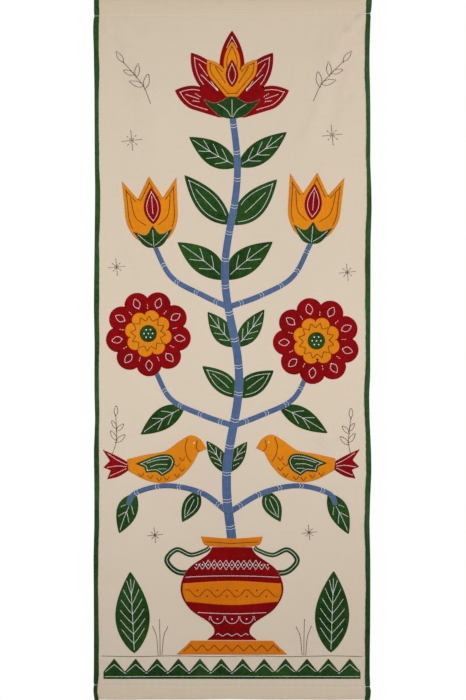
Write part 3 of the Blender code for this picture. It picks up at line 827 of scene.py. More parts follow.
    def flat(self):
        """Width and length of the cut in metres, along its own grain."""
        if self.strip:
            return max(self.strip[0], LEAST_STRIP) * MM, self.strip[1] * MM
        centred = self.outline - self.outline.mean(axis=0)
        _, _, axes = np.linalg.svd(centred, full_matrices=False)
        size = np.ptp(centred @ axes.T, axis=0) * MM
        return float(size[1]), float(size[0])


sewn = {}


def sew(name, outline, colour, layer=1, meets=(), over=(), strip=None):
    """Adds one cut piece to those that are sewn on."""
    sewn[name] = Piece(name, outline, colour, layer, meets, over, strip)


def sew_strip(name, line, widths, colour, meets):
    """Adds one strip along a line, from its first to its last width."""
    strip = (sum(widths) / 2, length_of(line))
    sew(name, ribbon(line, *widths), colour, meets=meets, strip=strip)


# Cutting the picture's pieces


def cut_border():
    pitch = 2 * BORDER_HALF / BORDER_TEETH
    outline = [(BORDER_HALF, -BORDER_FOOT), (-BORDER_HALF, -BORDER_FOOT)]
    for k in range(BORDER_TEETH):
        left = k * pitch - BORDER_HALF
        outline += [(left, -BORDER_BAND), (left + pitch / 2, -BORDER_TIP)]
    outline.append((BORDER_HALF, -BORDER_BAND))
    sew("border", np.array(outline), "green")


def below_top(keys):
    """The same keys with their distance below the top made a height."""
    return [(x, -drop, *rest) for x, drop, *rest in keys]


def vase_outline():
    half = below_top(VASE_HALF)
    return smooth_loop(half + [(-x, z, corner) for x, z, corner in half[::-1]])


def handle_line(flip):
    return smooth_line([(x * flip, -drop) for x, drop in VASE_HANDLE], 10)


def cut_vase():
    sew("vase_body", vase_outline(), "red")
    sew("vase_lip", smooth_loop(below_top(VASE_LIP)), "orange", meets=["vase_body"])
    sew("vase_band", smooth_loop(below_top(VASE_BAND)), "orange", 2, over=["vase_body"])
    sew("vase_stand", smooth_loop(below_top(VASE_STAND)), "orange")
    for side, flip in SIDES:
        meets = ["vase_body", "vase_lip"]
        sew_strip(f"vase_handle_{side}", handle_line(flip), VASE_HANDLE_WIDTH, "green", meets)


def stem_line(count=120):
    t = np.linspace(0, 1, count)
    sway = STEM_SWAY * np.sin(2 * math.pi * STEM_WAVES * t) * np.sin(math.pi * t) ** 0.3
    return np.column_stack([sway, -(STEM_TOP + (STEM_FOOT - STEM_TOP) * t)])


def stem_x(drop):
    line = stem_line()
    return float(np.interp(drop, -line[:, 1], line[:, 0]))


def cut_lotus():
    x, drop = LOTUS_BASE
    sew("lotus_calyx", placed(smooth_loop(LOTUS_CALYX), x, drop), "green")
    for name, colour, layer, up, tips, spread, valley, foot in LOTUS_FANS:
        fan = placed(petal_fan(tips, spread, valley, foot), x, drop - up)
        if layer == 1:
            sew(f"lotus_{name}", fan, colour, layer, meets=["lotus_calyx"])
        else:
            sew(f"lotus_{name}", fan, colour, layer, over=["lotus_petals", "lotus_calyx"])
    up, length, width = LOTUS_DROP
    outline = placed(leaf(length, width, 0), x, drop - up, 90)
    sew("lotus_drop", outline, "red", 3, over=["lotus_heart"])


def cut_round_flowers():
    for side, x, drop, radius, turn in ROUND_FLOWERS:
        below = []
        for layer, (name, colour, share, valley, lobes) in enumerate(ROUND_FLOWER_DISCS, 1):
            disc = scalloped_disc(radius * share, radius * valley, lobes, turn)
            sew(f"flower_{side}_{name}", placed(disc, x, drop), colour, layer, over=below[-1:])
            below.append(f"flower_{side}_{name}")


def cut_tulips():
    for side, x, drop, angle in TULIPS:
        calyx, petals, inner = (f"tulip_{side}_{part}" for part in ("calyx", "petals", "inner"))
        up, length, width = TULIP_INNER
        middle = placed(leaf(length, width, 0), x, drop - up, 90 + angle)
        sew(calyx, placed(smooth_loop(TULIP_CALYX), x, drop, angle, 1, TULIP_SCALE), "green")
        outline = placed(smooth_loop(TULIP), x, drop, angle, 1, TULIP_SCALE)
        sew(petals, outline, "orange", meets=[calyx])
        sew(inner, middle, "red", 2, over=[petals, calyx])


def branch_line(route, flip):
    drop = route[0][1]
    return smooth_line([(stem_x(drop), -drop)] + [(x * flip, -down) for x, down in route[1:]], 16)


def cut_stem():
    sew_strip("stem", stem_line(), STEM_WIDTH, "blue", ["lotus_calyx", "vase_lip", "vase_body"])
    ends = {"branch_high": "tulip_{}_calyx", "branch_mid": "flower_{}_petals"}
    for name, route in BRANCHES:
        for side, flip in SIDES:
            meets = ["stem"]
            if name in ends:
                meets.append(ends[name].format(side))
            sew_strip(f"{name}_{side}", branch_line(route, flip), BRANCH_WIDTH, "blue", meets)


def leaf_places():
    """Each leaf's name, then its length, width, bend, x, drop, angle and way, as placed by hand."""
    places = []
    for row, (name, x, drop, angle, length, width, bend) in enumerate(LEAVES):
        for side, flip in SIDES:
            by_hand = math.sin(2.4 * row + 0.9 * flip)
            base_x = stem_x(drop) if abs(x) < ON_STEM else x * flip
            size = (length * (1 + 0.04 * by_hand), width * (1 - 0.05 * by_hand), bend)
            places.append((f"{name}_{side}", size, base_x, drop, angle + 2.5 * by_hand, flip))
    return places


def cut_leaves():
    for name, size, x, drop, angle, flip in leaf_places():
        side = name.rsplit("_", 1)[1]
        meets = ["stem"]
        if name.startswith("leaf_arch"):
            meets = [f"branch_mid_{side}"]
        elif name.startswith(("leaf_hang", "leaf_end")):
            meets = [f"branch_low_{side}"]
        sew(name, placed(leaf(*size), x, drop, angle, flip), "green", meets=meets)


def cut_birds():
    for side, x, drop, flip in BIRDS:
        body, wing, tail = (
            placed(smooth_loop(keys), x, drop, 0, flip, BIRD_SCALE)
            for keys in (BIRD_BODY, BIRD_WING, BIRD_TAIL)
        )
        sew(f"bird_{side}_body", body, "orange")
        sew(f"bird_{side}_wing", wing, "green", 2, over=[f"bird_{side}_body"])
        sew(f"bird_{side}_tail", tail, "red", meets=[f"bird_{side}_body"])


def cut_cypresses():
    for side, x, drop, angle in CYPRESSES:
        sew(f"cypress_{side}", placed(leaf(*CYPRESS_SIZE, 0), x, drop, angle), "green")


# Materials


def add(tree, kind, values=(), **settings):
    """One node with its settings, and its inputs joined or set."""
    made = tree.nodes.new(kind)
    for key, value in settings.items():
        setattr(made, key, value)
    for socket, value in dict(values).items():
        if isinstance(value, bpy.types.NodeSocket):
            tree.links.new(value, made.inputs[socket])
        else:
            made.inputs[socket].default_value = value
    return made


def maths(tree, operation, first, second=0.0, third=0.0):
    values = {0: first, 1: second, 2: third}
    return add(tree, "ShaderNodeMath", values, operation=operation).outputs[0]


def grain(tree, place, scale, detail=2.0, rough=0.5):
    stretched = add(tree, "ShaderNodeMapping", {"Vector": place, "Scale": scale}).outputs[0]
    values = {"Vector": stretched, "Scale": 1.0, "Detail": detail, "Roughness": rough}
    noise = add(tree, "ShaderNodeTexNoise", values)
    return maths(tree, "SUBTRACT", noise.outputs[0], 0.5)


# Painted shade tints for the cream, each scaled by a number kept on the mesh: a warm one for the
# sleeves and the top, and a darker one, a little everywhere and more high up and towards the bottom
# right.
CREAM_SHADE_TINTS = (("warm_shade", (0.96, 0.88, 0.74)), ("dusty", (0.862, 0.85, 0.835)))
# The dyed cloths and bindings take painted shade, darker towards the bottom, between these two
# distances below the top.
SHADED_FROM, SHADED_TO = 690.0, 880.0


def low_soil(drop):
    """How much painted shade darkens the dyed cloths at this distance below the top: none above, full
    towards the bottom.
    """
    return smooth_step(drop, SHADED_FROM, SHADED_TO)


def new_material(name):
    """A material with its node tree and its shader."""
    material = bpy.data.materials.new(name)
    material.use_nodes = True
    shader = material.node_tree.nodes["Principled BSDF"]
    shader.inputs["Roughness"].default_value = 0.8
    return material, material.node_tree, shader


def shade_cloth(tree, shader, tone, light, deep, shade_tints=()):
    """Colours a shader from deep to light by the tone, then with the painted shade tints kept on the
    mesh.
    """
    ends = {0: tone, 6: (*deep, 1), 7: (*light, 1)}
    colour = add(tree, "ShaderNodeMix", ends, data_type="RGBA").outputs[2]
    for change, tint in shade_tints:
        amount = add(tree, "ShaderNodeAttribute", attribute_name=change).outputs["Fac"]
        mixed = {0: amount, 6: colour, 7: (*tint, 1)}
        shaded = add(tree, "ShaderNodeMix", mixed, data_type="RGBA", blend_type="MULTIPLY")
        colour = shaded.outputs[2]
    tree.links.new(colour, shader.inputs["Base Color"])
    shader.inputs["Sheen Tint"].default_value = (*(value / max(light) for value in light), 1)


def raise_bumps(tree, shader, height, strength, distance):
    """Gives a shader fine relief."""
    values = {"Height": height, "Strength": strength, "Distance": distance}
    bump = add(tree, "ShaderNodeBump", values)
    tree.links.new(bump.outputs[0], shader.inputs["Normal"])


def woven_cotton(name, light, deep, slub, mottle, pitch, turn, rim, shine, shade_tints):
    """Plain-woven cotton: threads thick and thin, a soft mottle, edges paled by wear, painted shade
    along the creases, and the painted shade tints.
    """
    material, tree, shader = new_material(name)
    place = add(tree, "ShaderNodeTexCoord").outputs["Object"]
    turned = add(tree, "ShaderNodeMapping", {"Vector": place, "Rotation": (0, turn, 0)})
    place = turned.outputs[0]
    weft = grain(tree, place, (75, 75, 1900))
    warp = grain(tree, place, (1900, 75, 75))
    long_weft = grain(tree, place, (9, 9, 420), 1.0)
    long_warp = grain(tree, place, (420, 9, 9), 1.0)
    patchy = grain(tree, place, (17, 17, 17), 3.0)
    spotty = grain(tree, place, (170, 170, 170), 2.0)
    axes = add(tree, "ShaderNodeSeparateXYZ", {0: place})
    turns = 2 * math.pi / (pitch * MM)
    across = maths(tree, "SINE", maths(tree, "MULTIPLY", axes.outputs[0], turns))
    down = maths(tree, "SINE", maths(tree, "MULTIPLY", axes.outputs[2], turns))
    weave = maths(tree, "MULTIPLY", across, down)
    tone = maths(tree, "MULTIPLY_ADD", weft, 0.55 * slub, 0.5)
    for layer, share in (
        (warp, 0.5 * slub), (long_weft, 0.45 * slub), (long_warp, 0.4 * slub),
        (patchy, 0.6 * mottle), (spotty, 0.4 * mottle), (weave, 0.07),
    ):
        tone = maths(tree, "MULTIPLY_ADD", layer, share, tone)
    # Painted shade along the creases, kept on the mesh.
    crease_shade = add(tree, "ShaderNodeAttribute", attribute_name="crease_shade").outputs["Fac"]
    tone = maths(tree, "ADD", tone, crease_shade)
    if rim:
        from_edge = add(tree, "ShaderNodeAttribute", attribute_name="from_edge").outputs["Fac"]
        fading = {0: from_edge, 1: 0.0, 2: RIM_WIDTH, 3: rim, 4: 0.0}
        tone = maths(tree, "ADD", tone, add(tree, "ShaderNodeMapRange", fading).outputs[0])
    tone = add(tree, "ShaderNodeClamp", {0: tone}).outputs[0]
    shade_cloth(tree, shader, tone, light, deep, shade_tints)
    rough = maths(tree, "MULTIPLY_ADD", tone, 0.08, 0.84)
    tree.links.new(rough, shader.inputs["Roughness"])
    shader.inputs["Specular IOR Level"].default_value = shine
    shader.inputs["Sheen Weight"].default_value = 0.08
    shader.inputs["Sheen Roughness"].default_value = 0.4
    height = maths(tree, "MULTIPLY_ADD", weft, 1.2, maths(tree, "MULTIPLY", warp, 1.2))
    height = maths(tree, "MULTIPLY_ADD", weave, 0.35, height)
    raise_bumps(tree, shader, height, 0.35, 0.00022)
    return material


def spun_thread(name, light, deep, sheen=0.1):
    """Cotton thread: soft strands with a slight uneven shade along them."""
    material, tree, shader = new_material(name)
    place = add(tree, "ShaderNodeTexCoord").outputs["Object"]
    strands = grain(tree, place, (2600, 2600, 2600), 2.0)
    uneven = grain(tree, place, (240, 240, 240), 2.0)
    tone = maths(tree, "MULTIPLY_ADD", uneven, 1.0, maths(tree, "MULTIPLY_ADD", strands, 0.7, 0.5))
    tone = add(tree, "ShaderNodeClamp", {0: tone}).outputs[0]
    shade_cloth(tree, shader, tone, light, deep)
    tree.links.new(maths(tree, "MULTIPLY_ADD", tone, 0.15, 0.7), shader.inputs["Roughness"])
    shader.inputs["Sheen Weight"].default_value = sheen
    shader.inputs["Specular IOR Level"].default_value = 0.15
    raise_bumps(tree, shader, strands, 0.4, 0.0001)
    return material


RIM_WIDTH = 1.1
COTTONS = {
    # name, light tone, deep tone, slub, mottle, thread pitch, turn of the grain, worn rim, painted
    # shade tint towards the bottom
    "edge": ("edge green", (0.0262, 0.0775, 0.0197), (0.0085, 0.0275, 0.0066), 1.3, 2.6, 0.45, 0.0,
             0.0, (0.78, 0.78, 0.78)),
    "green": ("leaf green", (0.018, 0.062, 0.0098), (0.0035, 0.0135, 0.0022), 1.2, 2.0, 0.55, 0.05,
              0.16, (0.97, 0.97, 0.97)),
    "red": ("red", (0.235, 0.0015, 0.0029), (0.093, 0.0005, 0.0011), 1.0, 1.7, 0.45, -0.04,
            0.16, (0.83, 0.8, 0.8)),
    "orange": ("orange", (0.575, 0.192, 0.0055), (0.405, 0.116, 0.0025), 0.9, 0.9, 0.45, 0.03,
               0.16, (0.92, 0.74, 0.6)),
    "blue": ("blue", (0.0695, 0.116, 0.235), (0.0355, 0.064, 0.138), 1.2, 1.4, 0.5, 0.02,
             0.16, (0.94, 0.95, 0.93)),
}
cotton = {
    "cream": woven_cotton(
        "cream cotton", (0.548, 0.465, 0.371), (0.434, 0.368, 0.291), 0.28, 0.25, 0.45, 0.0,
        0.0, 0.15, CREAM_SHADE_TINTS
    )
}
# The last value of each dye is its painted shade tint towards the bottom.
for dye, (label, *values, low_shade_tint) in COTTONS.items():
    cotton[dye] = woven_cotton(f"{label} cotton", *values, 0.05, (("dusty", low_shade_tint),))

thread = {
    "white": spun_thread("white thread", (0.72, 0.72, 0.7), (0.5, 0.5, 0.48), 0.25),
    "brown": spun_thread("brown thread", (0.038, 0.021, 0.015), (0.011, 0.006, 0.005)),
    "green": spun_thread("green thread", (0.018, 0.06, 0.012), (0.006, 0.025, 0.005)),
    "red": spun_thread("red thread", (0.21, 0.003, 0.005), (0.1, 0.001, 0.002)),
    "orange": spun_thread("orange thread", (0.58, 0.2, 0.008), (0.4, 0.12, 0.003)),
    "blue": spun_thread("blue thread", (0.08, 0.13, 0.25), (0.045, 0.075, 0.15)),
}
SLOTS = {
    "green": "leaf_green", "red": "red_cotton", "orange": "orange_cotton", "blue": "blue_cotton",
}


# Stitches


def new_tree(name, inputs):
    """A tree that takes a piece and these named inputs, and what they give inside it."""
    tree = bpy.data.node_groups.new(name, "GeometryNodeTree")
    for way in ("OUTPUT", "INPUT"):
        tree.interface.new_socket("Geometry", in_out=way, socket_type="NodeSocketGeometry")
    for label, kind in inputs:
        tree.interface.new_socket(label, in_out="INPUT", socket_type=f"NodeSocket{kind}")
    return tree, add(tree, "NodeGroupInput").outputs


def end_tree(tree, laid, material):
    """Makes what was laid real and smooth, in its thread, and gives it out."""
    real = add(tree, "GeometryNodeRealizeInstances", {0: laid.outputs[0]})
    soft = add(tree, "GeometryNodeSetShadeSmooth", {0: real.outputs[0], "Shade Smooth": True})
    done = add(tree, "GeometryNodeSetMaterial", {0: soft.outputs[0], "Material": material})
    add(tree, "NodeGroupOutput", {0: done.outputs[0]})
    return tree


def joined(tree, values):
    """A vector from its parts."""
    return add(tree, "ShaderNodeCombineXYZ", values).outputs[0]


def thread_ring(tree, width, sides):
    """The round outline of a thread."""
    values = {"Resolution": sides, "Radius": maths(tree, "MULTIPLY", width, 0.5)}
    return add(tree, "GeometryNodeCurvePrimitiveCircle", values)


def drawn(tree, low, high, seed):
    """A number between low and high, drawn for each stitch."""
    values = {2: low, 3: high, "Seed": seed}
    return add(tree, "FunctionNodeRandomValue", values, data_type="FLOAT").outputs[1]


def stitch_tree(name):
    """Lays one bowed thread stitch after another along lines, both its ends dipped in the cloth."""
    tree, given = new_tree(name, (
        ("Pitch", "Float"), ("Stitch length", "Float"), ("Thread width", "Float"),
        ("Rise", "Float"), ("Sink", "Float"), ("Slant", "Float"), ("Wobble", "Float"),
        ("Twist", "Float"), ("Out of the cloth", "Vector"), ("Bow steps", "Int"),
        ("Sides", "Int"), ("Seed", "Int"), ("Thread", "Material"),
    ))
    half = maths(tree, "MULTIPLY", given["Stitch length"], 0.5)
    down = maths(tree, "MULTIPLY", given["Sink"], -1.0)
    crest = maths(tree, "MULTIPLY_ADD", given["Rise"], 2.0, given["Sink"])
    bow = add(tree, "GeometryNodeCurveQuadraticBezier", {
        "Resolution": given["Bow steps"],
        "Start": joined(tree, {0: maths(tree, "MULTIPLY", half, -1.0), 2: down}),
        "Middle": joined(tree, {2: crest}),
        "End": joined(tree, {0: half, 2: down}),
    })
    along = add(tree, "GeometryNodeSplineParameter").outputs["Factor"]
    twisted = {"Curve": bow.outputs[0], "Tilt": maths(tree, "MULTIPLY", along, given["Twist"])}
    bow = add(tree, "GeometryNodeSetCurveTilt", twisted)
    ring = thread_ring(tree, given["Thread width"], given["Sides"])
    flatter = {"Geometry": ring.outputs[0], "Scale": (1.0, 0.72, 1.0)}
    strand = add(tree, "GeometryNodeTransform", flatter)
    swell = maths(tree, "SINE", maths(tree, "MULTIPLY", along, math.pi))
    stitch = add(tree, "GeometryNodeCurveToMesh", {
        "Curve": bow.outputs[0], "Profile Curve": strand.outputs[0],
        "Scale": maths(tree, "MULTIPLY_ADD", swell, 0.35, 0.65), "Fill Caps": True,
    })
    line = add(tree, "GeometryNodeMeshToCurve", {"Mesh": given["Geometry"]})
    every = {"Curve": line.outputs[0], "Length": given["Pitch"]}
    line = add(tree, "GeometryNodeResampleCurve", every, mode="LENGTH")
    ahead = {"Vector": add(tree, "GeometryNodeInputTangent").outputs[0]}
    facing = add(tree, "FunctionNodeAlignRotationToVector", ahead, axis="X")
    out = {"Rotation": facing.outputs[0], "Vector": given["Out of the cloth"]}
    facing = add(tree, "FunctionNodeAlignRotationToVector", out, axis="Z", pivot_axis="X")
    swing = drawn(tree, -1.0, 1.0, given["Seed"])
    slant = maths(tree, "MULTIPLY_ADD", swing, given["Wobble"], given["Slant"])
    turned = add(tree, "FunctionNodeEulerToRotation", {0: joined(tree, {2: slant})})
    both = {"Rotation": facing.outputs[0], "Rotate By": turned.outputs[0]}
    facing = add(tree, "FunctionNodeRotateRotation", both, rotation_space="LOCAL")
    longer = drawn(tree, 0.9, 1.08, maths(tree, "ADD", given["Seed"], 7.0))
    laid = add(tree, "GeometryNodeInstanceOnPoints", {
        "Points": line.outputs[0], "Instance": stitch.outputs[0], "Rotation": facing.outputs[0],
        "Scale": joined(tree, {0: longer, 1: 1.0, 2: longer}),
    })
    return end_tree(tree, laid, given["Thread"])


def knot_tree(name):
    """Sets a small coiled knot of thread on each point."""
    tree, given = new_tree(name, (
        ("Knot width", "Float"), ("Thread width", "Float"), ("Turns", "Float"), ("Seed", "Int"),
        ("Thread", "Material"),
    ))
    wide = maths(tree, "MULTIPLY", given["Knot width"], 0.5)
    coil = add(tree, "GeometryNodeCurveSpiral", {
        "Resolution": 9, "Rotations": given["Turns"], "Start Radius": wide,
        "End Radius": maths(tree, "MULTIPLY", wide, 0.25),
        "Height": maths(tree, "MULTIPLY", wide, 0.9),
    })
    ring = thread_ring(tree, given["Thread width"], 5)
    wound = {"Curve": coil.outputs[0], "Profile Curve": ring.outputs[0], "Fill Caps": True}
    knot = add(tree, "GeometryNodeCurveToMesh", wound)
    turn = joined(tree, {0: math.pi / 2, 1: drawn(tree, 0.0, 6.283, given["Seed"])})
    turned = add(tree, "FunctionNodeEulerToRotation", {0: turn})
    spots = add(tree, "GeometryNodeMeshToPoints", {0: given["Geometry"]})
    laid = add(tree, "GeometryNodeInstanceOnPoints", {
        "Points": spots.outputs[0], "Instance": knot.outputs[0], "Rotation": turned.outputs[0],
    })
    return end_tree(tree, laid, given["Thread"])


stitches, knots = stitch_tree("thread stitches"), knot_tree("thread knots")


def guide(name, lines):
    """A mesh of the lines alone, for stitches to follow."""
    edges, start = [], 0
    for line in lines:
        edges += [(start + k, start + k + 1) for k in range(len(line) - 1)]
        start += len(line)
    return mesh_piece(name, np.vstack(lines), edges)


def run_tree(piece, tree, values):
    """Runs a tree on a piece, its inputs set by their sockets' identifiers, and keeps the mesh."""
    modifier = piece.modifiers.new(tree.name, "NODES")
    modifier.node_group = tree
    for item in tree.interface.items_tree:
        if item.in_out == "INPUT" and item.name in values:
            modifier[item.identifier] = values[item.name]
    return made_plain(piece)


STITCH_SIZES = ("Pitch", "Stitch length", "Thread width", "Rise", "Sink")
STITCH_WAYS = ("Slant", "Wobble", "Twist", "Bow steps", "Sides")
THREADS = {
    # the sizes in millimetres, then the ways, in the order of the two lists above
    "stem": (2.5, 3.4, 0.88, 0.5, 0.25, 0.26, 0.12, 7.0, 4, 5),
    "fine_stem": (2.6, 3.7, 1.0, 0.45, 0.25, 0.16, 0.08, 7.0, 4, 5),
    "back": (3.4, 3.8, 1.0, 0.4, 0.14, 0.0, 0.04, 8.0, 4, 5),
    "bar": (2.3, 2.9, 0.95, 0.35, 0.1, 0.0, 0.02, 4.0, 4, 5),
    "slip": (4.4, 1.7, 0.32, 0.2, 0.35, 1.15, 0.2, 3.0, 4, 5),
    "lock": (2.7, 2.6, 0.42, 0.22, 0.2, 0.0, 0.03, 4.0, 4, 5),
    "trace": (5.0, 2.8, 0.7, 0.26, 0.22, 0.1, 0.2, 0.0, 2, 4),
}
BACKWARD = (0, 1, 0)


def stitch(name, lines, kind, colour, seed, out=(0, -1, 0), slot=None):
    """Sews the lines in one kind of stitch and one thread."""
    values = dict(zip(STITCH_SIZES + STITCH_WAYS, THREADS[kind]))
    for label in STITCH_SIZES:
        values[label] *= MM
    values |= {"Out of the cloth": out, "Seed": seed, "Thread": thread[colour]}
    piece = run_tree(guide(name, lines), stitches, values)
    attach(piece, "root")


def stitch_backs(name, lines, colour, seed, slot=None):
    """What shows of the stitches behind the ground cloth: short dashes along the same lines."""
    behind = []
    for x, _, z in (line.T for line in lines):
        behind.append(np.column_stack([x, cloth_y(x, z) + CLOTH, z]))
    stitch(name, behind, "trace", colour, seed, BACKWARD, slot)


def in_front(points, on, lift):
    """Flat points laid on a piece, or on the cloth if it is None, and lifted off it."""
    x, z = points.T
    high = np.maximum(sewn[on].top(points), 0.0) if on else 0.0
    return np.column_stack([x, cloth_y(x, z) - high - lift, z])


def lay(line, on=None, margin=2.2, clear=1.2, closed=False, lift=0.0, step=0.8):
    """A flat line laid on a piece, or on the cloth: the parts of it that show, as lines in space."""
    points = np.array(line, float)
    if closed:
        points = np.vstack([points, points[:1]])
    points = spaced(points, step)
    keep = np.ones(len(points), bool)
    layer = sewn[on].layer if on else 0
    if on:
        keep &= sewn[on].depth(points) > margin
    for other in sewn.values():
        near = other.near(points, 3.0)
        if other.name != on and other.layer > layer and near.any():
            keep[near] &= other.depth(points[near]) < -clear
    laid = in_front(points, on, lift)
    changes = np.flatnonzero(np.diff(np.concatenate([[0], keep, [0]])))
    return [laid[a:b] for a, b in zip(changes[::2], changes[1::2]) if b - a > 2]


# Hanging cloth and its bindings

# Painted shade: the cream is darker along the creases.
CREASE_SHADE = 0.12
# Painted shade: a warm, darker tint on the two sleeves and near the top of the face.
SLEEVE_WARM_SHADE = {True: 0.28, False: 0.16}
TOP_WARM_SHADE, TOP_WARM_SHADE_TO = 0.09, (20, 190)
# Painted shade: the cream a little darker everywhere, darker high up, and darker towards the bottom
# right.
LEAST_SHADE = 0.04
HIGH_SHADE, HIGH_SHADE_TO = 0.4, (300, 640)
LOW_RIGHT_SHADE, LOW_RIGHT_SHADE_FROM = 0.09, (640, 1000)


def on_sleeve(drop, x, top):
    """One on a sleeve, nothing on the face, and between the two at the seam."""
    seam, way = seam_drop(x, top), -1 if top else 1
    return smooth_step(drop, seam - 0.5 * way, seam + 1.5 * way)


def make_ground():
    """The ground cloth with its two sleeves. Gives the length of its middle line."""
    half = HALF_WIDTH - EDGE_IN_BINDING
    columns, tones = [], {"crease_shade": [], "warm_shade": [], "dusty": []}
    for u in np.linspace(-1, 1, COLUMNS):
        x0 = u * half
        line = section(x0)
        z, drop = line[:, 1], -line[:, 1]
        x = x0 + math.copysign(1, u) * edge_out(z, 1 if u > 0 else -1) * abs(u) ** 6
        columns.append(np.column_stack([x, line]))
        # The tones kept for the material are painted shade: along the creases, warm on the sleeves and
        # near the top, darker high up and towards the bottom right.
        creased = ridges(np.full(len(line), x0), z, CREASES, CREASE_NARROWING)
        warm_shade = TOP_WARM_SHADE * (1 - smooth_step(drop, *TOP_WARM_SHADE_TO))
        for top, amount in SLEEVE_WARM_SHADE.items():
            warm_shade = warm_shade + amount * on_sleeve(drop, x0, top)
        high = 1 - smooth_step(drop, *HIGH_SHADE_TO)
        low = (1 + u) * smooth_step(drop, *LOW_RIGHT_SHADE_FROM)
        tones["crease_shade"].append(CREASE_SHADE * creased)
        tones["warm_shade"].append(warm_shade)
        tones["dusty"].append(LEAST_SHADE + HIGH_SHADE * high + LOW_RIGHT_SHADE * low)
    tones = {kind: np.concatenate(values) for kind, values in tones.items()}
    ground = grid_cloth("ground_cloth_hung", columns, CLOTH, cotton["cream"], tones)
    length = length_of(section(0.0))
    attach(ground, "root")
    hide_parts("ground_cloth")
    return length


BINDING_PINCH, BINDING_PINCH_REACH = 0.8, 2.6
BINDING_IN = 0.4
BINDING_SHOWS = 7.0


def binding_columns(side):
    """A binding's columns of points, from its edge on the face round to its edge on the back."""
    line = section(side * HALF_WIDTH)
    along, drop = run_along(line), -line[:, 1]
    pinch = np.zeros(len(line))
    for top in SEAMS:
        away = drop - seam_drop(side * HALF_WIDTH, top)
        pinch += np.exp(-((away / BINDING_PINCH_REACH) ** 2))
    waves = 0.14 * np.sin(along / 2.05 + 2 * np.sin(along / 19)) + 0.25 * np.sin(along / 9.1)
    pucker = BINDING_PUCKER[side] * waves + BINDING_PINCH * pinch
    swell = 1 + 0.08 * np.sin(along / 4.7 + side) + 0.08 * np.sin(along / 13.0) - 0.4 * pinch
    wider = np.interp(drop, EDGE_DROPS, BINDING_WIDER[side])
    edge = HALF_WIDTH + edge_out(line[:, 1], side)
    columns = []
    for inward_by, out in BINDING_SECTION:
        points = offset_out(line, (out + BINDING_IN) * swell - BINDING_IN)
        share = (inward_by / BINDING_SHOWS) ** 2 * (out > 0)
        x = edge - inward_by + (pucker - wider) * share
        columns.append(np.column_stack([side * x, points]))
    return columns


def make_bindings(length):
    """The two folded bindings and their seams on the face and on the back."""
    for name, side in SIDES:
        columns = binding_columns(side)
        ordered = columns[::side]
        # Painted shade: the bindings darker towards the bottom.
        tones = {"dusty": low_soil(-np.concatenate([column[:, 2] for column in ordered]))}
        piece = f"binding_{name}_folded"
        binding = grid_cloth(piece, ordered, BINDING_CLOTH, cotton["edge"], tones)
        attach(binding, "root")
        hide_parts(f"binding_{name}")
        rows = len(SLEEVE_LINE) + np.arange(-6, len(FACE_ROWS) + 6)
        face, back = [columns[1][rows]], [columns[-2][rows[8:-8]]]
        stitch(f"binding_{name}_seam", face, "lock", "green", 31 + side, slot="edge_green")
        behind = f"binding_{name}_back_seam"
        stitch(behind, back, "lock", "green", 41 + side, BACKWARD, "edge_green")


def make_pieces():
    for piece in sewn.values():
        made = piece.make()
        made.name = made.data.name = f"{piece.name}_cloth"
        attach(made, "root")
        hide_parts(piece.name)
        width, length = piece.flat()


def sew_edges():
    """Small slanted stitches all round each piece, in a thread of its own colour."""
    lines = {}
    for piece in sewn.values():
        ring = piece.outline + inward(piece.outline) * 0.45
        found = lay(ring, piece.name, margin=0.2, clear=0.3, closed=True, lift=-0.2, step=1.2)
        lines.setdefault(piece.colour, []).extend(found)
    for k, (colour, found) in enumerate(lines.items()):
        stitch(f"edge_stitches_{colour}", found, "slip", colour, 50 + k, slot=SLOTS[colour])
        stitch_backs(f"edge_stitch_backs_{colour}", found, colour, 70 + k, SLOTS[colour])


SEAM_ENDS = 0.8
SEAM_FRONT, FRONT_ON_BINDING = -0.02, -0.62
SEAM_BACK, BACK_ON_BINDING = 1.8, 1.1
BAR_FROM_EDGE, BAR_FRONT = (7.6, 1.2), -0.95


def sew_sleeve_seams():
    """One machine seam across each sleeve, seen on the face and on the back."""
    x = np.linspace(-HALF_WIDTH + SEAM_ENDS, HALF_WIDTH - SEAM_ENDS, 420)
    on_binding = smooth_step(np.abs(x), *BINDING_ON_SEAM)
    bulk = BINDING_BULK * smooth_step(np.abs(x), BULKY_FROM, BULKY_TO)
    for name, top in (("top", True), ("bottom", False)):
        z = -seam_drop(x, top)
        front = cloth_y(x, z) + SEAM_FRONT + FRONT_ON_BINDING * on_binding
        back = cloth_y(x, z) + SEAM_BACK + bulk + BACK_ON_BINDING * on_binding
        front, back = ([np.column_stack([x, y, z])] for y in (front, back))
        stitch(f"seam_{name}_face", front, "lock", "white", 61 + top)
        stitch(f"seam_{name}_back", back, "lock", "white", 63 + top, BACKWARD)
        bars = []
        for _, side in SIDES:
            x_bar = side * np.linspace(*(HALF_WIDTH - away for away in BAR_FROM_EDGE), 12)
            z_bar = -seam_drop(x_bar, top)
            bars.append(np.column_stack([x_bar, cloth_y(x_bar, z_bar) + BAR_FRONT, z_bar]))
        stitch(f"seam_{name}_bars", bars, "bar", "white", 65 + top)


# Hand embroidery


def contour(name, away):
    """The line that runs inside a piece's edge, at that distance from it."""
    piece = sewn[name]
    return lay(piece.outline + inward(piece.outline) * away, name, margin=away - 0.35, closed=True)


def leaf_veins(length, width, bend, places, reach=0.66):
    """A leaf's middle line and pairs of side lines, in its own frame."""
    lines = [leaf_middle(length, bend, np.linspace(0.05, 0.9, 24))]
    u = np.linspace(0, 1, 6)
    for start in places:
        middle = leaf_middle(length, bend, start + 0.17 * u)
        aside = leaf_half(width, np.array([start + 0.17]))[0] * reach * u**0.85
        for way in (-1, 1):
            lines.append(middle + np.column_stack([0 * u, way * aside]))
    return lines


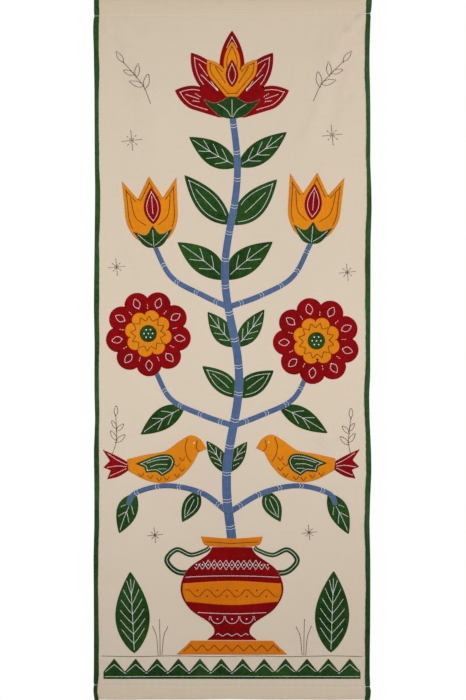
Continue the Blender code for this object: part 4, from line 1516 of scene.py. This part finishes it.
def embroider_leaves():
    found = []
    for k, (name, size, x, drop, angle, flip) in enumerate(leaf_places()):
        length, _, bend = size
        style = (k // 2) % 3
        if style == 1:
            found += contour(name, 5.2)
            lines = [leaf_middle(length, bend, np.linspace(0.3, 0.72, 12))]
        else:
            lines = leaf_veins(*size, (0.2, 0.38, 0.56) if style == 0 else (0.26, 0.48))
        for line in lines:
            found += lay(placed(line, x, drop, angle, flip), name, 2.6)
    return found


def bars_along(line, first_width, last_width, first, every, on):
    """Pairs of pointed bars across a strip."""
    run = run_along(line)

    def spot(at):
        return np.array([np.interp(at, run, line[:, k]) for k in (0, 1)])

    found = []
    for at in np.arange(first, run[-1] - 8, every):
        half = np.interp(at, (0, run[-1]), (first_width, last_width)) / 2
        for centre_at in (at, at + 4.2):
            centre = spot(centre_at)
            ahead = spot(centre_at + 1) - centre
            ahead /= np.linalg.norm(ahead)
            aside = half * np.array([-ahead[1], ahead[0]])
            shares = (-1, -0.5, 0, 0.5, 1)
            bar = [centre + aside * s + ahead * 1.6 * (1 - abs(s)) for s in shares]
            found += lay(bar, on, 0.9, step=0.6)
    return found


def embroider_stem():
    found = bars_along(stem_line(), *STEM_WIDTH, 22, 41, "stem")
    for name, route in BRANCHES:
        for side, flip in SIDES:
            found += bars_along(branch_line(route, flip), *BRANCH_WIDTH, 18, 33, f"{name}_{side}")
    return found


def embroider_lotus():
    x, drop = LOTUS_BASE
    white, brown = contour("lotus_petals", 6.0), contour("lotus_heart", 5.0)
    name, _, _, up, tips, spread, _, _ = LOTUS_FANS[0]
    for k, tip in enumerate(tips):
        angle = math.radians(90 - spread / 2 + spread * (k + 0.5) / len(tips))
        for way, reach in ((-1, 0.66), (0, 0.8), (1, 0.66)):
            r = np.linspace(0.36 * tip, reach * tip, 12)
            bend = angle + way * 0.13 * np.sin((r / tip - 0.3) * 2.2)
            white += lay(placed(polar(r, bend), x, drop - up), "lotus_petals", 7.5, 2.5)
    for angle in (58, 90, 122):
        line = polar(np.array([20, 34, 46]), math.radians(angle))
        brown += lay(placed(line, x, drop - LOTUS_FANS[1][3]), "lotus_heart", 3, 2.0)
    white += contour("lotus_drop", 4.2)
    for way in (-1, 0, 1):
        line = smooth_line([(2 * way, -8), (9 * way, 2), (24 * way, 12 + 4 * (way == 0))], 6)
        white += lay(placed(line, x, drop), "lotus_calyx", 2.5)
    return white, brown


def embroider_round_flowers():
    white, brown, knots_white = [], [], []
    lobes = ROUND_FLOWER_DISCS[0][4]
    for side, x, drop, radius, turn in ROUND_FLOWERS:
        petals, ring, eye = (f"flower_{side}_{part[0]}" for part in ROUND_FLOWER_DISCS)
        for k in range(lobes):
            angle = 360 * (k + 0.5) / lobes + math.degrees(turn)
            loop = leaf(0.24 * radius, 0.15 * radius, 0, 16) + (0.63 * radius, 0)
            white += lay(placed(loop, x, drop, angle), petals, 2, closed=True)
            edge = [(0.6 * radius, 0), (0.66 * radius, 0)]
            white += lay(placed(edge, x, drop, angle + 180 / lobes), petals, 2)
        k = np.arange(24)
        rays = polar((0.3 + 0.11 * (k % 2)) * radius, math.pi * k / 12 + turn)
        brown += lay(placed(rays, x, drop), ring, 1.5, closed=True)
        spots = np.vstack([(0, 0), polar(0.1 * radius, np.arange(6) * math.pi / 3)])
        knots_white.append((placed(spots, x, drop), eye))
    return white, brown, knots_white


def embroider_tulips():
    white, brown = [], []
    for side, x, drop, angle in TULIPS:
        petals, calyx, inner = (f"tulip_{side}_{part}" for part in ("petals", "calyx", "inner"))
        brown += contour(petals, 5.0)
        for way in (-1, 1):
            line = smooth_line([(9 * way, 24), (22 * way, 36), (27 * way, 62)], 8)
            brown += lay(placed(line, x, drop, angle, 1, TULIP_SCALE), petals, 7.0)
        white += contour(inner, 4.4)
        up, length, _ = TULIP_INNER
        line = [(0.3 * length, 0), (0.74 * length, 0)]
        white += lay(placed(line, x, drop - up, 90 + angle), inner, 2)
        for keys in CALYX_LINES:
            line = placed(smooth_line(keys, 6), x, drop, angle, 1, TULIP_SCALE)
            white += lay(line, calyx, 2.0)
    return white, brown


def zigzag(first, step, count, drop, height, shift=0):
    """A level zigzag at this distance below the top."""
    return [(first + step * k, -drop - height * (-1) ** (k + shift)) for k in range(count)]


def embroider_vase():
    white, brown, knots_white, knots_brown = [], [], [], []
    x = np.linspace(-74, 74, 75)
    bow = 4 * (1 - (x / 74) ** 2)
    for drop, down in ((880, -0.6), (931, 1)):
        white += lay(np.column_stack([x, -drop - bow * down]), "vase_body", 4)
    for shift in (0, 1):
        white += lay(zigzag(-63, 9, 15, 861, 7, shift), "vase_body", 5)
    knots_white.append(([(k * 9 - 63, -861) for k in range(1, 14)], "vase_body"))
    for k in range(-2, 3):
        arc = polar(10, -np.linspace(0, math.pi, 12)) + (k * 22, -940)
        white += lay(arc, "vase_body", 4)
        knots_white.append(([(k * 22, -943)], "vase_body"))
    white += lay(zigzag(-28, 7, 9, 967, 2), "vase_body", 4)
    wave = np.linspace(-69, 69, 120)
    wavy = np.column_stack([wave, -904 - 5.5 * np.sin(wave * 2 * np.pi / 30)])
    brown += lay(wavy, "vase_band", 3)
    knots_brown.append((zigzag(-52.5, 15, 8, 904, 4.5, 1), "vase_band"))
    brown += lay([(-38, -826), (0, -828.5), (38, -826)], "vase_lip", 2)
    brown += lay(zigzag(-72, 9, 17, 987, 4.5), "vase_stand", 2.5)
    for side, flip in SIDES:
        white += lay(handle_line(flip), f"vase_handle_{side}", 1.6)
    return white, brown, knots_white, knots_brown


def embroider_border():
    pitch = 2 * BORDER_HALF / BORDER_TEETH
    teeth = []
    for k in range(BORDER_TEETH):
        left = k * pitch - BORDER_HALF
        teeth += [(left, -BORDER_BAND - 2.5), (left + pitch / 2, -BORDER_TIP - 9)]
    teeth.append((BORDER_HALF, -BORDER_BAND - 2.5))
    foot = [(-192, -1030.5), (0, -1030), (192, -1030.5)]
    return lay(teeth, "border", 2.4) + lay(foot, "border", 2.2)


def embroider_birds():
    white, brown, knots_white = [], [], []
    for side, x, drop, flip in BIRDS:
        body, wing, tail = (f"bird_{side}_{part}" for part in ("body", "wing", "tail"))

        def on_bird(keys, steps=6):
            return placed(smooth_line(keys, steps), x, drop, 0, flip, BIRD_SCALE)

        knots_white.append((placed([BIRD_EYE], x, drop, 0, flip, BIRD_SCALE), body))
        brown += lay(on_bird(BIRD_BEAK), body, 1.5)
        brown += lay(on_bird(BIRD_COLLAR), body, 2)
        for cx, cz in BREAST_FEATHERS:
            feather = ((cx - 3, cz + 2.5), (cx, cz - 1), (cx + 3, cz + 2.5))
            brown += lay(on_bird(feather, 4), body, 1.5)
        white += contour(wing, 3.4)
        for keys in WING_FEATHERS:
            white += lay(on_bird(keys), wing, 3)
        for keys in TAIL_FEATHERS:
            white += lay(on_bird(keys), tail, 2)
    return white, brown, knots_white


def embroider_cypresses():
    found = []
    for side, x, drop, angle in CYPRESSES:
        for line in leaf_veins(*CYPRESS_SIZE, 0, (0.12, 0.24, 0.36, 0.48, 0.6, 0.72), 0.7):
            found += lay(placed(line, x, drop, angle), f"cypress_{side}", 3)
    return found


def sprig(x, drop, angle, size, flip):
    """A small twig with a bud at its end and pairs of leaves, as open lines."""
    stalk = smooth_line([(0, 0), (0.35, 0.05), (0.7, 0.0), (1.0, -0.06)], 8)
    lines = [stalk]
    for at, turn, length in SPRIG_LEAVES:
        up = float(np.interp(at, stalk[:, 0], stalk[:, 1]))
        loop = placed(leaf(length, length * 0.36, 0, 12), at, -up, turn)
        lines.append(np.vstack([loop, loop[:1]]))
    return [placed(line, x, drop, angle, flip, size) for line in lines]


def star(x, drop, radius):
    """Eight stitched rays round an open middle, every second one short."""
    lines = []
    for k in range(8):
        reach = radius if k % 2 == 0 else 0.62 * radius
        ray = polar(np.array([0.24 * radius, reach]), math.pi * k / 4 + 0.1)
        lines.append(ray + (x, -drop))
    return lines


def embroider_ground():
    found, knots_brown, lines = [], [], []
    for (_, flip), lean in zip(SIDES, LEANS):
        for x, drop, way, turn, size in SPRIGS:
            lines += sprig(flip * x, drop + way * lean, turn + lean, size, flip)
        for x, drop, way, radius in STARS:
            lines += star(flip * x, drop + way * lean, radius)
        knots_brown.append(([(flip * x, -drop - way * lean) for x, drop, way, _ in STARS], None))
        for x, drop, tip in GRASS:
            keys = ((x, drop), (x + 0.3 * (tip - x), drop - 26), (tip, drop - 52 + abs(tip - 110)))
            blade = smooth_line([(a, -b) for a, b in keys], 8)
            lines.append(placed(blade, 0, 0, 0, flip))
    x = np.linspace(-196, 196, 99)
    lines.append(np.column_stack([x, -999.6 + 0.5 * np.sin(x / 19)]))
    for line in lines:
        found += lay(line, None, clear=1.4)
    return found, knots_brown


def tie_knots(name, groups, colour, seed):
    """A knot on each spot, in front of the piece it is tied on."""
    spots = np.vstack([in_front(np.array(points, float), on, 0.1) for points, on in groups])
    piece = run_tree(mesh_piece(name, spots), knots, {
        "Knot width": 1.9 * MM, "Thread width": 0.9 * MM, "Turns": 1.6, "Seed": seed,
        "Thread": thread[colour],
    })
    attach(piece, "root")


def embroider():
    lotus_white, lotus_brown = embroider_lotus()
    flower_white, flower_brown, flower_knots = embroider_round_flowers()
    tulip_white, tulip_brown = embroider_tulips()
    vase_white, vase_brown, vase_knots, band_knots = embroider_vase()
    bird_white, bird_brown, bird_knots = embroider_birds()
    ground_brown, ground_knots = embroider_ground()
    white_lines = {
        "leaf_veins": embroider_leaves(),
        "stem_bars": embroider_stem(),
        "lotus_lines": lotus_white,
        "round_flower_loops": flower_white,
        "tulip_lines": tulip_white,
        "vase_lines": vase_white,
        "border_lines": embroider_border(),
        "bird_feathers": bird_white,
        "cypress_lines": embroider_cypresses(),
    }
    brown_lines = {
        "heart_lines": lotus_brown,
        "ring_lines": flower_brown,
        "tulip_brown_lines": tulip_brown,
        "vase_brown_lines": vase_brown,
        "bird_brown_lines": bird_brown,
    }
    for k, (name, lines) in enumerate(white_lines.items()):
        stitch(name, lines, "stem", "white", 100 + k)
    for k, (name, lines) in enumerate(brown_lines.items()):
        stitch(name, lines, "fine_stem", "brown", 120 + k)
    stitch("ground_sprigs", ground_brown, "back", "brown", 130)
    stitch_backs("white_stitch_backs", sum(white_lines.values(), []), "white", 150)
    all_brown = sum(brown_lines.values(), []) + ground_brown
    stitch_backs("brown_stitch_backs", all_brown, "brown", 151)
    tie_knots("white_knots", flower_knots + vase_knots + bird_knots, "white", 140)
    tie_knots("brown_knots", band_knots + ground_knots, "brown", 141)


# Studio

PIXEL = 1.5188 * MM
CUT_AT_TOP = 2.2
PHOTO_WIDTH, PHOTO_HEIGHT = 466, 700
MIDDLE_PIXEL = 232.0
CAMERA_AWAY = 4.0
SENSOR = 36.0


FLOOR = {"half": 1.6, "front": -1.6, "back": 0.45, "level": -1.3, "thick": 0.02}
WORLD_SEEN, WORLD_LIGHTING = 1.0, 0.28
LIGHTS = (
    # name, place, aim, size, power
    ("front light", (-0.35, -1.15, -0.34), (0.0, 0.0, -0.34), (1.5, 0.35), 15.4),
    ("side light", (1.35, -0.9, -0.2), (0.0, 0.0, -0.4), (0.6, 0.9), 16.0),
    ("back light", (0.8, 2.2, -0.1), (0.0, 0.0, -0.5), (1.2, 1.2), 50),
)


def lay_floor():
    """A plain pale floor, below and behind the panel."""
    bm = bmesh.new()
    bmesh.ops.create_grid(bm, x_segments=24, y_segments=16, size=1.0)
    for vert in bm.verts:
        vert.co.x *= FLOOR["half"]
        vert.co.y = FLOOR["front"] + (vert.co.y + 1) / 2 * (FLOOR["back"] - FLOOR["front"])
        vert.co.z = FLOOR["level"]
    mesh = bpy.data.meshes.new("floor")
    bm.to_mesh(mesh)
    bm.free()
    paint, _, shader = new_material("pale floor")
    shader.inputs["Base Color"].default_value = (0.62, 0.61, 0.59, 1)
    mesh.materials.append(paint)
    floor = link_new("floor", mesh)
    thicken(floor, FLOOR["thick"])


def soft_light(name, place, aim, size, power):
    """A wide soft lamp at its place, turned to its aim."""
    lamp = bpy.data.lights.new(name, "AREA")
    lamp.shape = "RECTANGLE"
    lamp.size, lamp.size_y = size
    lamp.energy = power
    holder = link_new(name, lamp)
    holder.location = place
    holder.rotation_euler = (Vector(aim) - Vector(place)).to_track_quat("-Z", "Y").to_euler()


def light_studio():
    """A white surround that lights less than it shows, and the lamps."""
    world = bpy.data.worlds.new("white studio")
    world.use_nodes = True
    tree = world.node_tree
    seen, lighting = (
        add(tree, "ShaderNodeBackground", {"Color": (1, 1, 1, 1), "Strength": strength}).outputs[0]
        for strength in (WORLD_SEEN, WORLD_LIGHTING)
    )
    looking = add(tree, "ShaderNodeLightPath").outputs["Is Camera Ray"]
    both = add(tree, "ShaderNodeMixShader", {0: looking, 1: lighting, 2: seen}).outputs[0]
    tree.links.new(both, tree.nodes["World Output"].inputs["Surface"])
    scene = bpy.context.scene
    scene.world = world
    scene.view_settings.view_transform = "Standard"
    for values in LIGHTS:
        soft_light(*values)


def set_camera():
    """The camera straight in front, its picture as wide and high as the photograph's."""
    camera = bpy.data.cameras.new("camera")
    camera.sensor_width = SENSOR
    camera.lens = SENSOR * CAMERA_AWAY / (PHOTO_HEIGHT * PIXEL)
    holder = link_new("camera", camera)
    aside, down = PHOTO_WIDTH / 2 - MIDDLE_PIXEL, PHOTO_HEIGHT / 2 + CUT_AT_TOP
    holder.location = (aside * PIXEL, -CAMERA_AWAY, -down * PIXEL)
    holder.rotation_euler = Euler((math.pi / 2, 0.0, 0.0))
    bpy.context.scene.camera = holder


cut_border()
cut_vase()
cut_lotus()
cut_round_flowers()
cut_tulips()
cut_stem()
cut_leaves()
cut_birds()
cut_cypresses()
make_bindings(make_ground())
make_pieces()
sew_edges()
sew_sleeve_seams()
embroider()
lay_floor()
light_studio()
set_camera()
